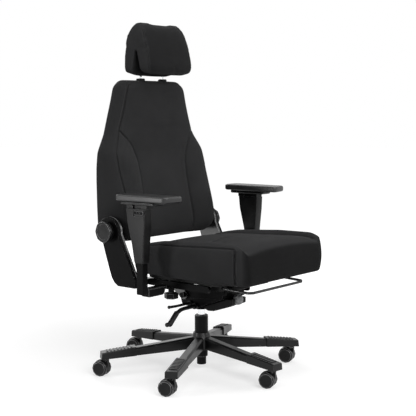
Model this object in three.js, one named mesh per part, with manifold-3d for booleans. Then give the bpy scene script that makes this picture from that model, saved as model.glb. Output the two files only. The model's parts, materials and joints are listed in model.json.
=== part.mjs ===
// Round-the-clock office chair: six-arm base on casters, gas column, synchronised
// reclining mechanism, sliding seat, tall tapered back on two side plates with hand
// wheels, headrest on two posts and height-adjustable armrests.
// Millimetres, +Z up. The sitter faces -Y, so the sitter's left is +X. The origin is on
// the floor, under the column.

import * as THREE from 'three';
import { mergeVertices } from 'three/addons/utils/BufferGeometryUtils.js';
import Module from 'manifold-3d';

const wasm = await Module();
wasm.setup();

// Clearances and rounding steps
const GAP = 0.3; // between pieces that touch
const OVERRUN = 4; // how far a cut runs past a face
const WELD = 0.0001; // vertices closer than this are one
const SMALL_STEPS = 10; // sides of dots and balls
const BALL_RINGS = 6; // bands from one pole of a ball to the other
const BAR_SIDES = 4; // facets in half of a bent bar's round
const PIN_STEPS = 12; // sides of small round pieces
const ROUND_STEPS = 20; // sides of large round pieces
const CORNER_STEPS = 3; // facets in a rounded corner
const LOBE_STEPS = 3; // facets in a lobe of a grip

// Base: a star of six arms round a hub
const ARM_COUNT = 6;
const BASE_TURN = 24.7; // degrees from +X to the first arm
const BASE_REACH = 375; // column axis to arm tip
const HUB_RADIUS = 41;
const HUB_TOP = 142;
const HUB_BOTTOM = 79;
const HUB_TOP_RADIUS = 30;
const HUB_SHOULDER = 110; // the hub narrows above this
const ARM_ROOT_WIDTH = 35;
const ARM_TIP_WIDTH = 37;
const ARM_ROOT_TOP = 131;
const ARM_ROOT_BOTTOM = 85;
const ARM_TIP_TOP = 86;
const ARM_TIP_BOTTOM = 66;
const ARM_BEVEL = 6; // sloped shoulder along both top edges
const STEM_INSET = 17; // arm tip to caster stem

// Step caps: ribbed treads over the outer part of each arm
const CAP_LENGTH = 124;
const CAP_WALL = 4.5;
const CAP_BEVEL = 3;
const CAP_LEAN = 2; // how far the tip leans back at the top
const CAP_NOSE = 4; // how far the cap runs past the tip
const TREAD_COUNT = 8;
const TREAD_WIDTH = 5.5;
const TREAD_HEIGHT = 2.4;
const TREAD_PITCH = 12.5;
const TREAD_START = 14; // cap's inner end to the first tread
const TREAD_MARGIN = 7; // tread end to cap side

// Casters
const WHEEL_RADIUS = 29;
const WHEEL_WIDTH = 19;
const WHEEL_ROUND = 5;
const WHEEL_DISH = 3; // depth of the recess in the outer face
const WHEEL_STEPS = 12;
const WHEEL_DISH_RADIUS = 23;
const AXLE_RADIUS = 5;
const AXLE_BOSS_RADIUS = 9;
const CASTER_WEB = 10; // thickness of the leg between the wheels
const CASTER_TRAIL = 20;
const CASTER_HEADING = 107.5; // degrees, the way every caster trails
const STEM_RADIUS = 5.5;
const STEM_STEPS = 8;
const STEM_LENGTH = 17; // length in the arm
const FORK_HEAD_RADIUS = 8;
const FORK_HEAD_HEIGHT = 5;
const HOOD_RADIUS = 31; // hood between the wheels, round the axle
const HOOD_STEPS = 6;
const HOOD_FROM = 55; // degrees above level, stem side
const HOOD_TO = 165; // degrees, trailing side
const LEG_FRONT = 8.5; // stem axis to the front of the leg
const LEG_DROP = 6; // how far the leg reaches below the axle's level

// Column
const COLUMN_RADIUS = 25;
const COLUMN_TOP = 208;
const COLUMN_BOTTOM = 21;
const COLUMN_FOOT_RADIUS = 17.5;
const COLUMN_FOOT_TOP = 50;
const COLUMN_TAPER_TOP = 78;
const COLUMN_TAPER_RADIUS = 23.5;
const COLUMN_FLOOR = 6; // thickness of the column's bottom
const COLUMN_LIP = 2;
const GAS_RADIUS = 14;
const GAS_BOTTOM = 64;
const GAS_CONE_START = 226;
const GAS_CONE_RADIUS = 13;
const GAS_TOP = 268;
const GAS_BUTTON_RADIUS = 4;
const GAS_BUTTON_HEIGHT = 5;
const ROD_RADIUS = 5;
const ROD_TOP = 200;
const BEARING_RADIUS = 13;
const BEARING_HEIGHT = 8;
const CLIP_HEIGHT = 3;
const CLIP_RADIUS = 8;

// Mechanism housing, in side view (y, z)
const HOUSING_WIDTH = 128;
const HOUSING_REAR = 48;
const HOUSING_FRONT = -178;
const HOUSING_TOP = 334;
const HOUSING_REAR_TOP = 308;
const HOUSING_LEVEL = -113; // the top starts to fall behind this
const HOUSING_REAR_FOOT = 38;
const HOUSING_DEEP = 249; // lowest line of the side walls
const HOUSING_KNEE = -40; // the bottom starts to rise in front of this
const HOUSING_NOSE_FOOT = -154;
const HOUSING_NOSE_BOTTOM = 291;
const HOUSING_LIP = 320; // underside of the nose, front
const HOUSING_LIP_REAR = 314; // and where it meets the front wall
const HOUSING_ROUND = 9;
const HOUSING_BEVEL = 1.5;
const SOCKET_RADIUS = 24;
const SOCKET_BOTTOM = 231;
const PANEL_DEPTH = 2.5; // sunk panel in each side wall
const PANEL_SHARES = [[0.2, 0.35], [0.2, 0.72], [0.78, 0.8], [0.78, 0.48]]; // of side length, height

// Pivots of the mechanism
const RECLINE_Y = 25;
const RECLINE_Z = 290;
const SHAFT_RADIUS = 8;
const SHAFT_OVERHANG = 15; // housing side to shaft end
const SHAFT_HEAD_RADIUS = 11;
const SHAFT_HEAD = 4;
const SEAT_PIVOT_Y = -160;
const SEAT_PIVOT_Z = 322;
const SEAT_PIN_RADIUS = 7;
const SEAT_PIN_LENGTH = 9;

// Belly cover and tension knob
const COVER_WIDTH = 84;
const COVER_REAR = -50;
const COVER_FRONT = -178;
const COVER_DEPTH = 27; // below the housing
const COVER_BEVEL = 4;
const COVER_NOTCH = 24; // half width of the room for the knob
const COVER_NOTCH_WALL = -160;
const COVER_DEPTH_SHARES = [[0, 0.35], [0.12, 0.8], [0.26, 1], [0.6, 1.04], [0.9, 0.95], [1, 0.75]];
const COVER_RIB_COUNT = 5;
const COVER_RIB_FIRST_SHARE = 0.25; // of the cover's length
const COVER_RIB_LAST_SHARE = 0.75;
const COVER_RIB_WIDTH = 4;
const COVER_RIB_HEIGHT = 2;
const COVER_RIB_MARGIN = 10; // rib end to cover side
const TENSION_Z = 284;
const TENSION_TILT = 10; // degrees, nose upwards
const TENSION_RADIUS = 20;
const TENSION_LENGTH = 18;
const TENSION_DOME = 10;
const TENSION_LIFT = 2; // the tilted neck's middle to the wall
const TENSION_NECK_RADIUS = 9;
const TENSION_NECK = 4;
const TENSION_STUD_RADIUS = 5;
const TENSION_STUD = 20; // length in the housing
const TENSION_LOBES = 10;
const TENSION_FLUTE = 2;
const TENSION_DOME_SHARES = [[1, 0], [0.9, 0.4], [0.6, 0.85], [0, 1]]; // of face radius, dome height

// Levers on the sitter's right side of the housing
const LEVER_Y = -28;
const LEVER_Z = 254;
const LEVER_COLLAR_RADIUS = 12;
const LEVER_COLLAR = 10;
const LEVER_RADIUS = 7.5;
const LEVER_REACH = 84; // collar to the bend
const LEVER_DROP = 49;
const LEVER_OUT = 52; // bend to the tip, outwards
const LEVER_PADDLE_WIDTH = 17;
const LEVER_BEND = 28; // rounding of the bend
const LEVER_STEPS = 8; // sections along the shank
const LEVER_BEVEL = 2.5; // of the flat grip
const LEVER_BALL_RADIUS = 8.5;
const LEVER_BALL_OUT = 9; // paddle end to the ball's centre
const LEVER_BALL_UP = 5;
const TILT_LEVER_Y = -4;
const TILT_LEVER_Z = 262;
const TILT_LEVER_RADIUS = 5;
const TILT_LEVER_REACH = 118;
const TILT_LEVER_RISE = 2;
const TILT_LEVER_BEND = 15;
const TILT_LEVER_STEPS = 6;
const TILT_LEVER_BEND_SHARE = 0.7;
const TILT_LEVER_TIP_SHARE = 1.3; // tip radius to shank radius

// Seat frame with its slide rails
const FRAME_BOTTOM = 350;
const FRAME_PLATE = 5;
const FRAME_FRONT = -270;
const FRAME_REAR = 92;
const FRAME_WIDTH = 210;
const FRAME_NOSE_WIDTH = 120;
const FRAME_NOSE_LENGTH = 70;
const FRAME_ROUND = 12;
const RAIL_WIDTH = 20;
const RAIL_TOP = 365.5;
const RAIL_FRONT = -190;
const LUG_THICKNESS = 6;
const LUG_WIDTH = 30;
const LUG_ROUND = 10;
const BEAM_OUTER = 202; // side beams below the pan's edges, to the outer face
const BEAM_WIDTH = 12;
const BEAM_BOTTOM = 340;
const BEAM_TOP = 363;
const BEAM_FRONT = -205;
const BEAM_REAR = 84;
const BEAM_ROUND = 10;
const TIE_WIDTH = 34; // rear strip that joins the beams to the plate
const GUIDE_LENGTH = 408; // channel for the armrest brackets, end to end
const GUIDE_WALL = 5;
const GUIDE_FLOOR = 3.7;
const GUIDE_ROOF = 1.7;
const SLOT_COUNT = 3; // lightening slots down the plate
const SLOT_WIDTH = 34;
const SLOT_LENGTH = 36;
const SLOT_PITCH = 56;
const SLOT_FIRST = -240;

// Seat pan and cushion
const PAN_WIDTH = 404;
const PAN_FRONT = -292;
const PAN_REAR = 108;
const PAN_HEIGHT = 18;
const PAN_SKIN = 4; // thickness above the pockets
const PAN_WALL = 6; // outer wall and the ribs between the pockets
const PAN_ROUND = 60;
const PAN_BEVEL = 3;
const SEAT_HALF_WIDTH = 251;
const SEAT_FRONT = -393;
const SEAT_REAR = 118;
const SEAT_TOP = 486; // side seams at the rear
const SEAT_RISE = 23; // their climb to the highest point
const SEAT_CREST = 13; // side bolsters over the side seams
const SEAT_DRAW = 6; // how far the sides pull in at top and bottom
const SEAT_CORNER = 47; // rounding of the corners in plan
const SEAT_BULGE = 8; // the front stands forward in the middle
const SEAT_NOSE = 38; // how far the top falls over the front edge
const SEAT_REAR_EDGE = 12; // and over the rear edge
const SEAT_CROSS_BOW = 60; // the cross seam's ends lie this far forward
const SEAM_DEPTH = 5;

// Seat depth release bar
const BAR_RADIUS = 5;
const BAR_HALF_WIDTH = 160;
const BAR_FRONT = -351;
const BAR_Z = 351;
const BAR_BEND = 22;
const BAR_STEPS = 28; // sections along the bar
const BAR_RISE = 5; // the legs climb towards the pan
const BAR_LEG = 132;
const BAR_CLIP_WIDTH = 22;
const BAR_PLAY = 1.4; // room for the legs when the bar is pulled up
const BAR_CLIP_LENGTH = 16;

// Side plates that carry the back (y, z outlines)
const BACK_PIVOT_Y = 200;
const BACK_PIVOT_Z = 531;
const PLATE_HEAD_RADIUS = 53;
const PLATE_INNER = 260; // column axis to the inner face
const PLATE_OUTER = 282;
const PLATE_STEEL = 9;
const PLATE_HEAD_FROM = -55; // degrees, where the rear edge leaves the head
const PLATE_HEAD_TO = 187; // degrees, where the front edge leaves it
const PLATE_FRONT_LOW_Y = 65;
const PLATE_FRONT_LOW_Z = 364;
const PLATE_BOTTOM = 336;
const PLATE_STEPS = 9; // facets in half of the head
const PLATE_TOE = 8; // rounding of the plate's lower front corner
const PLATE_REAR_SHARES = [[0.67, 0], [0.81, 0.06], [0.9, 0.14], [0.99, 0.3], [1.14, 0.59], [1.21, 0.74]];
const PLATE_BEVEL = 3;
const CROSSBAR_FRONT = 92;
const CROSSBAR_REAR = 128;
const CROSSBAR_TOP = 356;
const CROSSBAR_BOTTOM = 336.5;
const CARRIER_LUG = 8;
const CARRIER_LUG_RADIUS = 17;
const LUG_ARC_FROM = 112; // degrees, the round end of each lug
const LUG_ARC_TO = 315;

// Hand wheels
const KNOB_RADIUS = 39;
const KNOB_FACE = 310; // column axis to the outer face
const KNOB_DISC = 13;
const KNOB_HUB_RADIUS = 31;
const KNOB_DISH_RADIUS = 28;
const KNOB_DISH = 2;
const KNOB_LOBES = 8;
const KNOB_FLUTE = 2;
const SPINDLE_RADIUS = 8;
const PIVOT_FLANGE_RADIUS = 30;
const PIVOT_FLANGE = 18;

// Back: rear shell and front cushion
const BACK_BOTTOM = 487;
const BACK_TOP = 1078;
const BACK_HALF_WIDTH = 256;
const BACK_REAR = 296; // rear face of the cushion
const BACK_FRONT_LOW = 142; // middle of the front face, bottom
const BACK_FRONT_HIGH = 208; // middle of the front face, upper part
const BACK_WING = 42; // how far the bolsters stand in front of the middle
const BACK_DRAW = 7;
const SHELL_THICKNESS = 9;
const SHELL_HALF_WIDTH = 208;
const SHELL_BOTTOM = 500;
const SHELL_TOP = 1036;
const SHELL_ROUND = 55;
const SHELL_RIM = 14;
const SHELL_RIM_DEPTH = 5;

// Headrest on two posts
const POST_HALF_SPACING = 60;
const POST_RADIUS = 5;
const POST_Y = 244;
const POST_BOTTOM = 958;
const YOKE_Z = 1114; // the bar that joins the posts
const YOKE_BEND = 14;
const YOKE_STEPS = 30; // sections along posts and yoke
const SLEEVE_RADIUS = 8;
const SLEEVE_BOTTOM = 975;
const SLEEVE_CAP_LENGTH = 32;
const SLEEVE_CAP_WIDTH = 24;
const SLEEVE_CAP = 14;
const HEAD_HALF_WIDTH = 126;
const HEAD_BOTTOM = 1094;
const HEAD_TOP = 1288;
const HEAD_FRONT = 138;
const HEAD_REAR = 264;
const HEAD_ROUND = 22;
const HEAD_CROWN = 10;
const HEAD_TILT_ROOM = 12; // degrees either way for the posts

// Armrests
const ARM_POST_OUTER = 328;
const ARM_POST_WIDTH = 26;
const ARM_POST_FRONT = -16;
const ARM_POST_REAR = 16;
const ARM_POST_BOTTOM = 329;
const ARM_POST_TOP = 598;
const BRACKET_INNER = 64;
const BRACKET_HEIGHT = 10;
const BRACKET_HALF_DEPTH = 18;
const BRACKET_ROUND = 8;
const BRACKET_FOOT_INNER = 214; // the bracket is deeper from here to the post
const BRACKET_FOOT_BOTTOM = 318;
const SLEEVE_TOP = 628;
const SLEEVE_FOOT = 440;
const SLEEVE_OUTER = 335;
const SLEEVE_FOOT_OUTER = 333;
const SLEEVE_INNER = 295;
const SLEEVE_FOOT_INNER = 297;
const SLEEVE_FRONT = -35;
const SLEEVE_FOOT_FRONT = -21;
const SLEEVE_REAR = 57;
const SLEEVE_FOOT_REAR = 23;
const SLEEVE_CORNER = 7;
const SLEEVE_CORNER_STEPS = 2;
const BUTTON_FRONT = -29;
const BUTTON_REAR = 18;
const BUTTON_BOTTOM = 608;
const BUTTON_HEIGHT = 14;
const BUTTON_PROUD = 2;
const BUTTON_TRAVEL = 3;
const BUTTON_POCKET = 10; // depth of the pocket behind the button
const BUTTON_DOT_RADIUS = 2.4;
const BUTTON_DOT_DEPTH = 2;
const BUTTON_DOT_SHARES = [0.35, 0.65];
const SCOOP_MARGIN = 3; // shallow recess round the button
const SCOOP_DEPTH = 3;
const CARRIER_RIB_WIDTH = 16;
const CARRIER_RIB_HEIGHT = 4;
const CARRIER_RIB_LENGTH = 100;
const PAD_TRAVEL = 25; // either way along the rib
const CARRIER_TOP = 652.7;
const CARRIER_PLATE = 11.7;
const CARRIER_FRONT = -74;
const CARRIER_REAR = 84;
const CARRIER_INNER = 278;
const CARRIER_OUTER = 334;
const CARRIER_FOOT_LENGTH = 26;
const CARRIER_SPIGOT_RADIUS = 8;
const CARRIER_SPIGOT = 12;
const PAD_INNER = 262;
const PAD_OUTER = 343;
const PAD_FRONT = -148;
const PAD_REAR = 106;
const PAD_TOP = 675;
const PAD_SLANT = 14; // the outer front corner is cut back
const PAD_ROUND = 20;
const PAD_BEVEL = 4;
const CLAMP_INSET = 38; // guide end to the clamp's axis
const CLAMP_RADIUS = 26;
const CLAMP_HEIGHT = 22;
const CLAMP_BOTTOM = 293;
const CLAMP_NECK_RADIUS = 11;
const CLAMP_STUD_RADIUS = 4;
const CLAMP_LOBES = 6;
const CLAMP_FLUTE = 5;

const SIDES = [{ name: 'right', sign: -1 }, { name: 'left', sign: 1 }];

// Finishes
function finish(color, roughness, metalness) {
  return { color, roughness, metalness, flatShading: true };
}
const NYLON = finish(0x1b1b1c, 0.5, 0);
const STEEL_PAINT = finish(0x161617, 0.4, 0.3);
const CHROME = finish(0xd8dadc, 0.12, 1);
const RUBBER = finish(0x2a2a2b, 0.7, 0);
const FABRIC = finish(0x2b2b2c, 0.95, 0);
const PAD_SKIN = finish(0x252527, 0.45, 0);
const GREY_PLASTIC = finish(0x8b8d8f, 0.4, 0);

// Closed bodies: welding, joining and cutting
function welded(geometry) {
  const bare = geometry.clone();
  bare.deleteAttribute('normal');
  bare.deleteAttribute('uv');
  const shell = mergeVertices(bare, WELD);
  const corners = shell.index.array;
  const kept = [];
  for (let i = 0; i < corners.length; i += 3) {
    const [a, b, c] = [corners[i], corners[i + 1], corners[i + 2]];
    if (a !== b && b !== c && c !== a) kept.push(a, b, c);
  }
  shell.setIndex(kept);
  return signedVolume(shell) < 0 ? flipped(shell) : shell;
}

function signedVolume(shell) {
  const { array } = shell.attributes.position;
  const corner = (i) => new THREE.Vector3().fromArray(array, 3 * i);
  const index = shell.index.array;
  let sum = 0;
  for (let i = 0; i < index.length; i += 3) {
    const [a, b, c] = [corner(index[i]), corner(index[i + 1]), corner(index[i + 2])];
    sum += a.dot(b.cross(c)) / 6;
  }
  return sum;
}

function flipped(shell) {
  const index = Array.from(shell.index.array);
  for (let i = 0; i < index.length; i += 3) {
    [index[i + 1], index[i + 2]] = [index[i + 2], index[i + 1]];
  }
  shell.setIndex(index);
  return shell;
}

function body(geometry) {
  const shell = welded(geometry);
  return new wasm.Manifold(new wasm.Mesh({
    numProp: 3,
    vertProperties: new Float32Array(shell.attributes.position.array),
    triVerts: new Uint32Array(shell.index.array),
  }));
}

function geometryOf(solid) {
  const mesh = solid.getMesh();
  const geometry = new THREE.BufferGeometry();
  geometry.setAttribute('position', new THREE.BufferAttribute(mesh.vertProperties, 3));
  geometry.setIndex(new THREE.BufferAttribute(mesh.triVerts, 1));
  return geometry;
}

function joined(...parts) {
  return geometryOf(parts.map(body).reduce((sum, part) => sum.add(part)));
}

function cut(stock, ...tools) {
  return geometryOf(tools.map(body).reduce((rest, tool) => rest.subtract(tool), body(stock)));
}

function mirrored(geometry) {
  return welded(geometry.clone().scale(-1, 1, 1));
}

// A piece modelled on the +X side, for the side asked for
function forSide(geometry, side) {
  return side.sign < 0 ? mirrored(geometry) : geometry;
}

// Outlines and the solids made from them
function outline(corners) {
  const shape = new THREE.Shape();
  corners.forEach(([x, y, turn = 0], i) => {
    const corner = new THREE.Vector2(x, y);
    const towards = ([u, v]) => new THREE.Vector2(u, v).sub(corner).setLength(turn).add(corner);
    const from = towards(corners.at(i - 1));
    const to = towards(corners[(i + 1) % corners.length]);
    if (i === 0) shape.moveTo(from.x, from.y);
    else shape.lineTo(from.x, from.y);
    if (turn > 0) shape.quadraticCurveTo(x, y, to.x, to.y);
  });
  shape.closePath();
  return shape;
}

function rectangle(x0, x1, y0, y1, turn = 0) {
  return outline([[x0, y0, turn], [x1, y0, turn], [x1, y1, turn], [x0, y1, turn]]);
}

function prism(shape, from, to, bevel = 0) {
  const geometry = new THREE.ExtrudeGeometry(shape, {
    depth: to - from - 2 * bevel,
    bevelEnabled: bevel > 0,
    bevelThickness: bevel,
    bevelSize: bevel,
    bevelOffset: -bevel,
    bevelSegments: 1,
    curveSegments: CORNER_STEPS,
  });
  return geometry.translate(0, 0, from + bevel);
}

const UNIT_X = new THREE.Vector3(1, 0, 0);
const UNIT_Y = new THREE.Vector3(0, 1, 0);
const UNIT_Z = new THREE.Vector3(0, 0, 1);
const SIDE_VIEW = new THREE.Matrix4().makeBasis(UNIT_Y, UNIT_Z, UNIT_X);
const REAR_VIEW = new THREE.Matrix4().makeBasis(UNIT_Z, UNIT_X, UNIT_Y);

// Outline in (y, z), from x0 to x1
function sideSlab(shape, x0, x1, bevel) {
  return prism(shape, x0, x1, bevel).applyMatrix4(SIDE_VIEW);
}

// Outline in (z, x), from y0 to y1
function rearSlab(shape, y0, y1, bevel) {
  return prism(shape, y0, y1, bevel).applyMatrix4(REAR_VIEW);
}

function block(x0, x1, y0, y1, z0, z1) {
  return prism(rectangle(x0, x1, y0, y1), z0, z1);
}

// Profile in (radius, height), round the Z axis
function turned(profile, steps = ROUND_STEPS) {
  const points = profile.map(([r, z]) => new THREE.Vector2(r, z));
  return new THREE.LatheGeometry(points, steps).rotateX(Math.PI / 2);
}

function disc(radius, z0, z1, steps = PIN_STEPS) {
  return turned([[0, z0], [radius, z0], [radius, z1], [0, z1]], steps);
}

// The same, round an axis along X that passes through (y, z)
function alongX(geometry, y, z) {
  return geometry.applyMatrix4(SIDE_VIEW).translate(0, y, z);
}

function pin(radius, x0, x1, y, z, steps) {
  return alongX(disc(radius, x0, x1, steps), y, z);
}

// A hand grip: a disc with flutes round its rim
function fluted(radius, lobes, depth, z0, z1, bevel = 0) {
  const count = lobes * LOBE_STEPS;
  const points = [];
  for (let i = 0; i < count; i += 1) {
    const angle = (2 * Math.PI * i) / count;
    const reach = radius - depth * (1 - Math.cos(lobes * angle)) / 2;
    points.push(new THREE.Vector2(reach * Math.cos(angle), reach * Math.sin(angle)));
  }
  return prism(new THREE.Shape(points), z0, z1, bevel);
}

// Closed rings of equal length, joined in order and capped
function loft(rings) {
  const count = rings[0].length;
  const index = [];
  rings.slice(1).forEach((ring, k) => {
    for (let j = 0; j < count; j += 1) {
      const [a, b] = [k * count + j, k * count + ((j + 1) % count)];
      index.push(a, b, b + count, a, b + count, a + count);
    }
  });
  const last = (rings.length - 1) * count;
  for (let j = 1; j < count - 1; j += 1) {
    index.push(0, j + 1, j, last, last + j, last + j + 1);
  }
  const geometry = new THREE.BufferGeometry();
  geometry.setAttribute('position', new THREE.Float32BufferAttribute(rings.flat(2), 3));
  geometry.setIndex(index);
  return welded(geometry);
}

// A round bar along straight runs with rounded bends
function bentBar(points, radius, bend, steps) {
  const route = new THREE.CurvePath();
  const at = points.map((p) => new THREE.Vector3(...p));
  let start = at[0];
  at.slice(1, -1).forEach((corner, i) => {
    const into = at[i].clone().sub(corner).setLength(bend).add(corner);
    const out = at[i + 2].clone().sub(corner).setLength(bend).add(corner);
    route.add(new THREE.LineCurve3(start, into));
    route.add(new THREE.QuadraticBezierCurve3(into, corner, out));
    start = out;
  });
  route.add(new THREE.LineCurve3(start, at.at(-1)));
  const section = new THREE.Shape();
  section.absarc(0, 0, radius, 0, 2 * Math.PI);
  return new THREE.ExtrudeGeometry(section, { extrudePath: route, steps, curveSegments: BAR_SIDES });
}

// A box whose grid lines lie at chosen shares and whose points a function places
function pillow(columnShares, rowShares, layerShares, place) {
  const lists = [columnShares, rowShares, layerShares];
  const [columns, rows, layers] = lists.map((list) => list.length - 1);
  const box = new THREE.BoxGeometry(1, 1, 1, columns, rows, layers);
  const { position } = box.attributes;
  const share = (list, value) => list[Math.round((value + 0.5) * (list.length - 1))];
  for (let i = 0; i < position.count; i += 1) {
    const at = [position.getX(i), position.getY(i), position.getZ(i)];
    position.setXYZ(i, ...place(...at.map((value, k) => share(lists[k], value))));
  }
  return welded(box);
}

function mix(a, b, share) {
  return a + (b - a) * share;
}

// Value at a share along a list of [share, value] pairs
function along(table, share) {
  const next = table.findIndex(([at]) => at >= share);
  if (next < 0) return table.at(-1)[1];
  if (next === 0) return table[0][1];
  const [[from, low], [to, high]] = [table[next - 1], table[next]];
  return mix(low, high, (share - from) / (to - from));
}

const chair = new THREE.Group();

function add(name, geometry, look, parent = chair) {
  const shell = welded(geometry);
  shell.computeVertexNormals();
  const mesh = new THREE.Mesh(shell, new THREE.MeshStandardMaterial(look));
  mesh.name = name;
  parent.add(mesh);
  return mesh;
}

// Base star
const STEM_REACH = BASE_REACH - STEM_INSET;

function armRing(reach, lean, side, top, bottom, bevel) {
  return [
    [reach, -side, bottom],
    [reach, side, bottom],
    [reach - lean, side, top - bevel],
    [reach - lean, side - bevel, top],
    [reach - lean, -side + bevel, top],
    [reach - lean, -side, top - bevel],
  ];
}

// One arm along +X between two reaches, grown by one margin and by another below
function starArm(from, to, margin, below, bevel) {
  const ring = (reach, lean) => {
    const share = reach / BASE_REACH;
    return armRing(
      reach,
      lean,
      mix(ARM_ROOT_WIDTH, ARM_TIP_WIDTH, share) / 2 + margin,
      mix(ARM_ROOT_TOP, ARM_TIP_TOP, share) + margin,
      mix(ARM_ROOT_BOTTOM, ARM_TIP_BOTTOM, share) - below,
      bevel,
    );
  };
  return loft([ring(from, 0), ring(to, CAP_LEAN)]);
}

function baseStar() {
  const turn = (2 * Math.PI) / ARM_COUNT;
  const hub = turned([
    [0, HUB_BOTTOM],
    [HUB_RADIUS, HUB_BOTTOM],
    [HUB_RADIUS, HUB_SHOULDER],
    [HUB_TOP_RADIUS, HUB_TOP],
    [0, HUB_TOP],
  ]);
  const bore = turned([
    [0, HUB_BOTTOM - OVERRUN],
    [COLUMN_TAPER_RADIUS + GAP, HUB_BOTTOM - OVERRUN],
    [COLUMN_RADIUS + GAP, HUB_TOP],
    [COLUMN_RADIUS + GAP, HUB_TOP + OVERRUN],
    [0, HUB_TOP + OVERRUN],
  ]);
  const socketTop = ARM_TIP_BOTTOM + STEM_LENGTH + GAP;
  const socket = disc(STEM_RADIUS + GAP, ARM_TIP_BOTTOM - OVERRUN, socketTop);
  socket.translate(STEM_REACH, 0, 0);
  const arms = [];
  const sockets = [];
  for (let i = 0; i < ARM_COUNT; i += 1) {
    arms.push(starArm(0, BASE_REACH, 0, 0, ARM_BEVEL).rotateZ(i * turn));
    sockets.push(socket.clone().rotateZ(i * turn));
  }
  return cut(joined(hub, ...arms), bore, ...sockets);
}

// A raised strip on a cap's top, between two reaches and two sides
function topStrip(from, to, y0, y1) {
  const ring = (reach) => {
    const face = mix(ARM_ROOT_TOP, ARM_TIP_TOP, reach / BASE_REACH) + CAP_WALL;
    const [low, high] = [face - CAP_WALL / 2, face + TREAD_HEIGHT];
    return [[reach, y0, low], [reach, y1, low], [reach, y1, high], [reach, y0, high]];
  };
  return loft([ring(from), ring(to)]);
}

function stepCap() {
  const inner = BASE_REACH - CAP_LENGTH;
  const outer = BASE_REACH + CAP_NOSE;
  const shell = starArm(inner, outer, CAP_WALL, 0, CAP_BEVEL);
  const room = starArm(inner - OVERRUN, BASE_REACH + GAP, GAP, GAP, ARM_BEVEL);
  const half = ARM_ROOT_WIDTH / 2 + CAP_WALL - TREAD_MARGIN;
  const first = inner + TREAD_START;
  const strips = [];
  for (let i = 0; i < TREAD_COUNT; i += 1) {
    const at = first + i * TREAD_PITCH;
    strips.push(topStrip(at, at + TREAD_WIDTH, -half, half));
  }
  return cut(joined(shell, ...strips), room);
}

// Caster: the housing turns round its stem, the wheel pair turns on its own axle
function casterHousing() {
  const headTop = ARM_TIP_BOTTOM - GAP;
  const headFoot = headTop - FORK_HEAD_HEIGHT;
  const front = CASTER_TRAIL + LEG_FRONT;
  const [from, to] = [HOOD_FROM, HOOD_TO].map(THREE.MathUtils.degToRad);
  const leg = new THREE.Shape();
  leg.absarc(0, 0, HOOD_RADIUS, from, to, false);
  leg.lineTo(-AXLE_BOSS_RADIUS, -AXLE_BOSS_RADIUS);
  leg.lineTo(AXLE_BOSS_RADIUS, -AXLE_BOSS_RADIUS);
  leg.lineTo(front, -LEG_DROP);
  leg.lineTo(front, headTop - WHEEL_RADIUS);
  const slab = new THREE.ExtrudeGeometry(leg, {
    depth: CASTER_WEB, bevelEnabled: false, curveSegments: HOOD_STEPS,
  });
  slab.translate(0, 0, -CASTER_WEB / 2).rotateX(Math.PI / 2).translate(-CASTER_TRAIL, 0, WHEEL_RADIUS);
  const axleHole = disc(AXLE_RADIUS + GAP, -CASTER_WEB, CASTER_WEB, WHEEL_STEPS);
  axleHole.rotateX(Math.PI / 2).translate(-CASTER_TRAIL, 0, WHEEL_RADIUS);
  const stem = turned([
    [0, headFoot],
    [FORK_HEAD_RADIUS, headFoot],
    [FORK_HEAD_RADIUS, headTop],
    [STEM_RADIUS, headTop],
    [STEM_RADIUS, headTop + STEM_LENGTH],
    [0, headTop + STEM_LENGTH],
  ], STEM_STEPS);
  return cut(joined(slab, stem), axleHole);
}

function casterWheels() {
  const half = CASTER_WEB / 2 + GAP;
  const face = half + WHEEL_WIDTH;
  const right = [
    [AXLE_RADIUS, half],
    [WHEEL_RADIUS, half],
    [WHEEL_RADIUS, face - WHEEL_ROUND],
    [WHEEL_RADIUS - WHEEL_ROUND, face],
    [WHEEL_DISH_RADIUS, face],
    [0, face - WHEEL_DISH],
  ];
  const left = right.map(([r, x]) => [r, -x]).reverse();
  return turned([...left, ...right], WHEEL_STEPS).rotateX(Math.PI / 2);
}

function buildBase() {
  const star = new THREE.Group();
  star.rotation.z = THREE.MathUtils.degToRad(BASE_TURN);
  chair.add(star);
  add('base_star', baseStar(), NYLON, star);
  const cap = stepCap();
  const housing = casterHousing();
  const wheels = casterWheels();
  for (let i = 0; i < ARM_COUNT; i += 1) {
    const angle = (i * 2 * Math.PI) / ARM_COUNT;
    const number = i + 1;
    add(`step_cap_${number}`, cap, NYLON, star).rotation.z = angle;
    const caster = new THREE.Group();
    const reach = new THREE.Vector3(STEM_REACH, 0, 0);
    caster.position.copy(reach.applyAxisAngle(UNIT_Z, angle + star.rotation.z));
    caster.rotation.z = THREE.MathUtils.degToRad(CASTER_HEADING) + Math.PI;
    chair.add(caster);
    add(`caster_${number}_housing`, housing, NYLON, caster);
    add(`caster_${number}_wheels`, wheels, RUBBER, caster).position.set(-CASTER_TRAIL, 0, WHEEL_RADIUS);
  }
}

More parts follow.
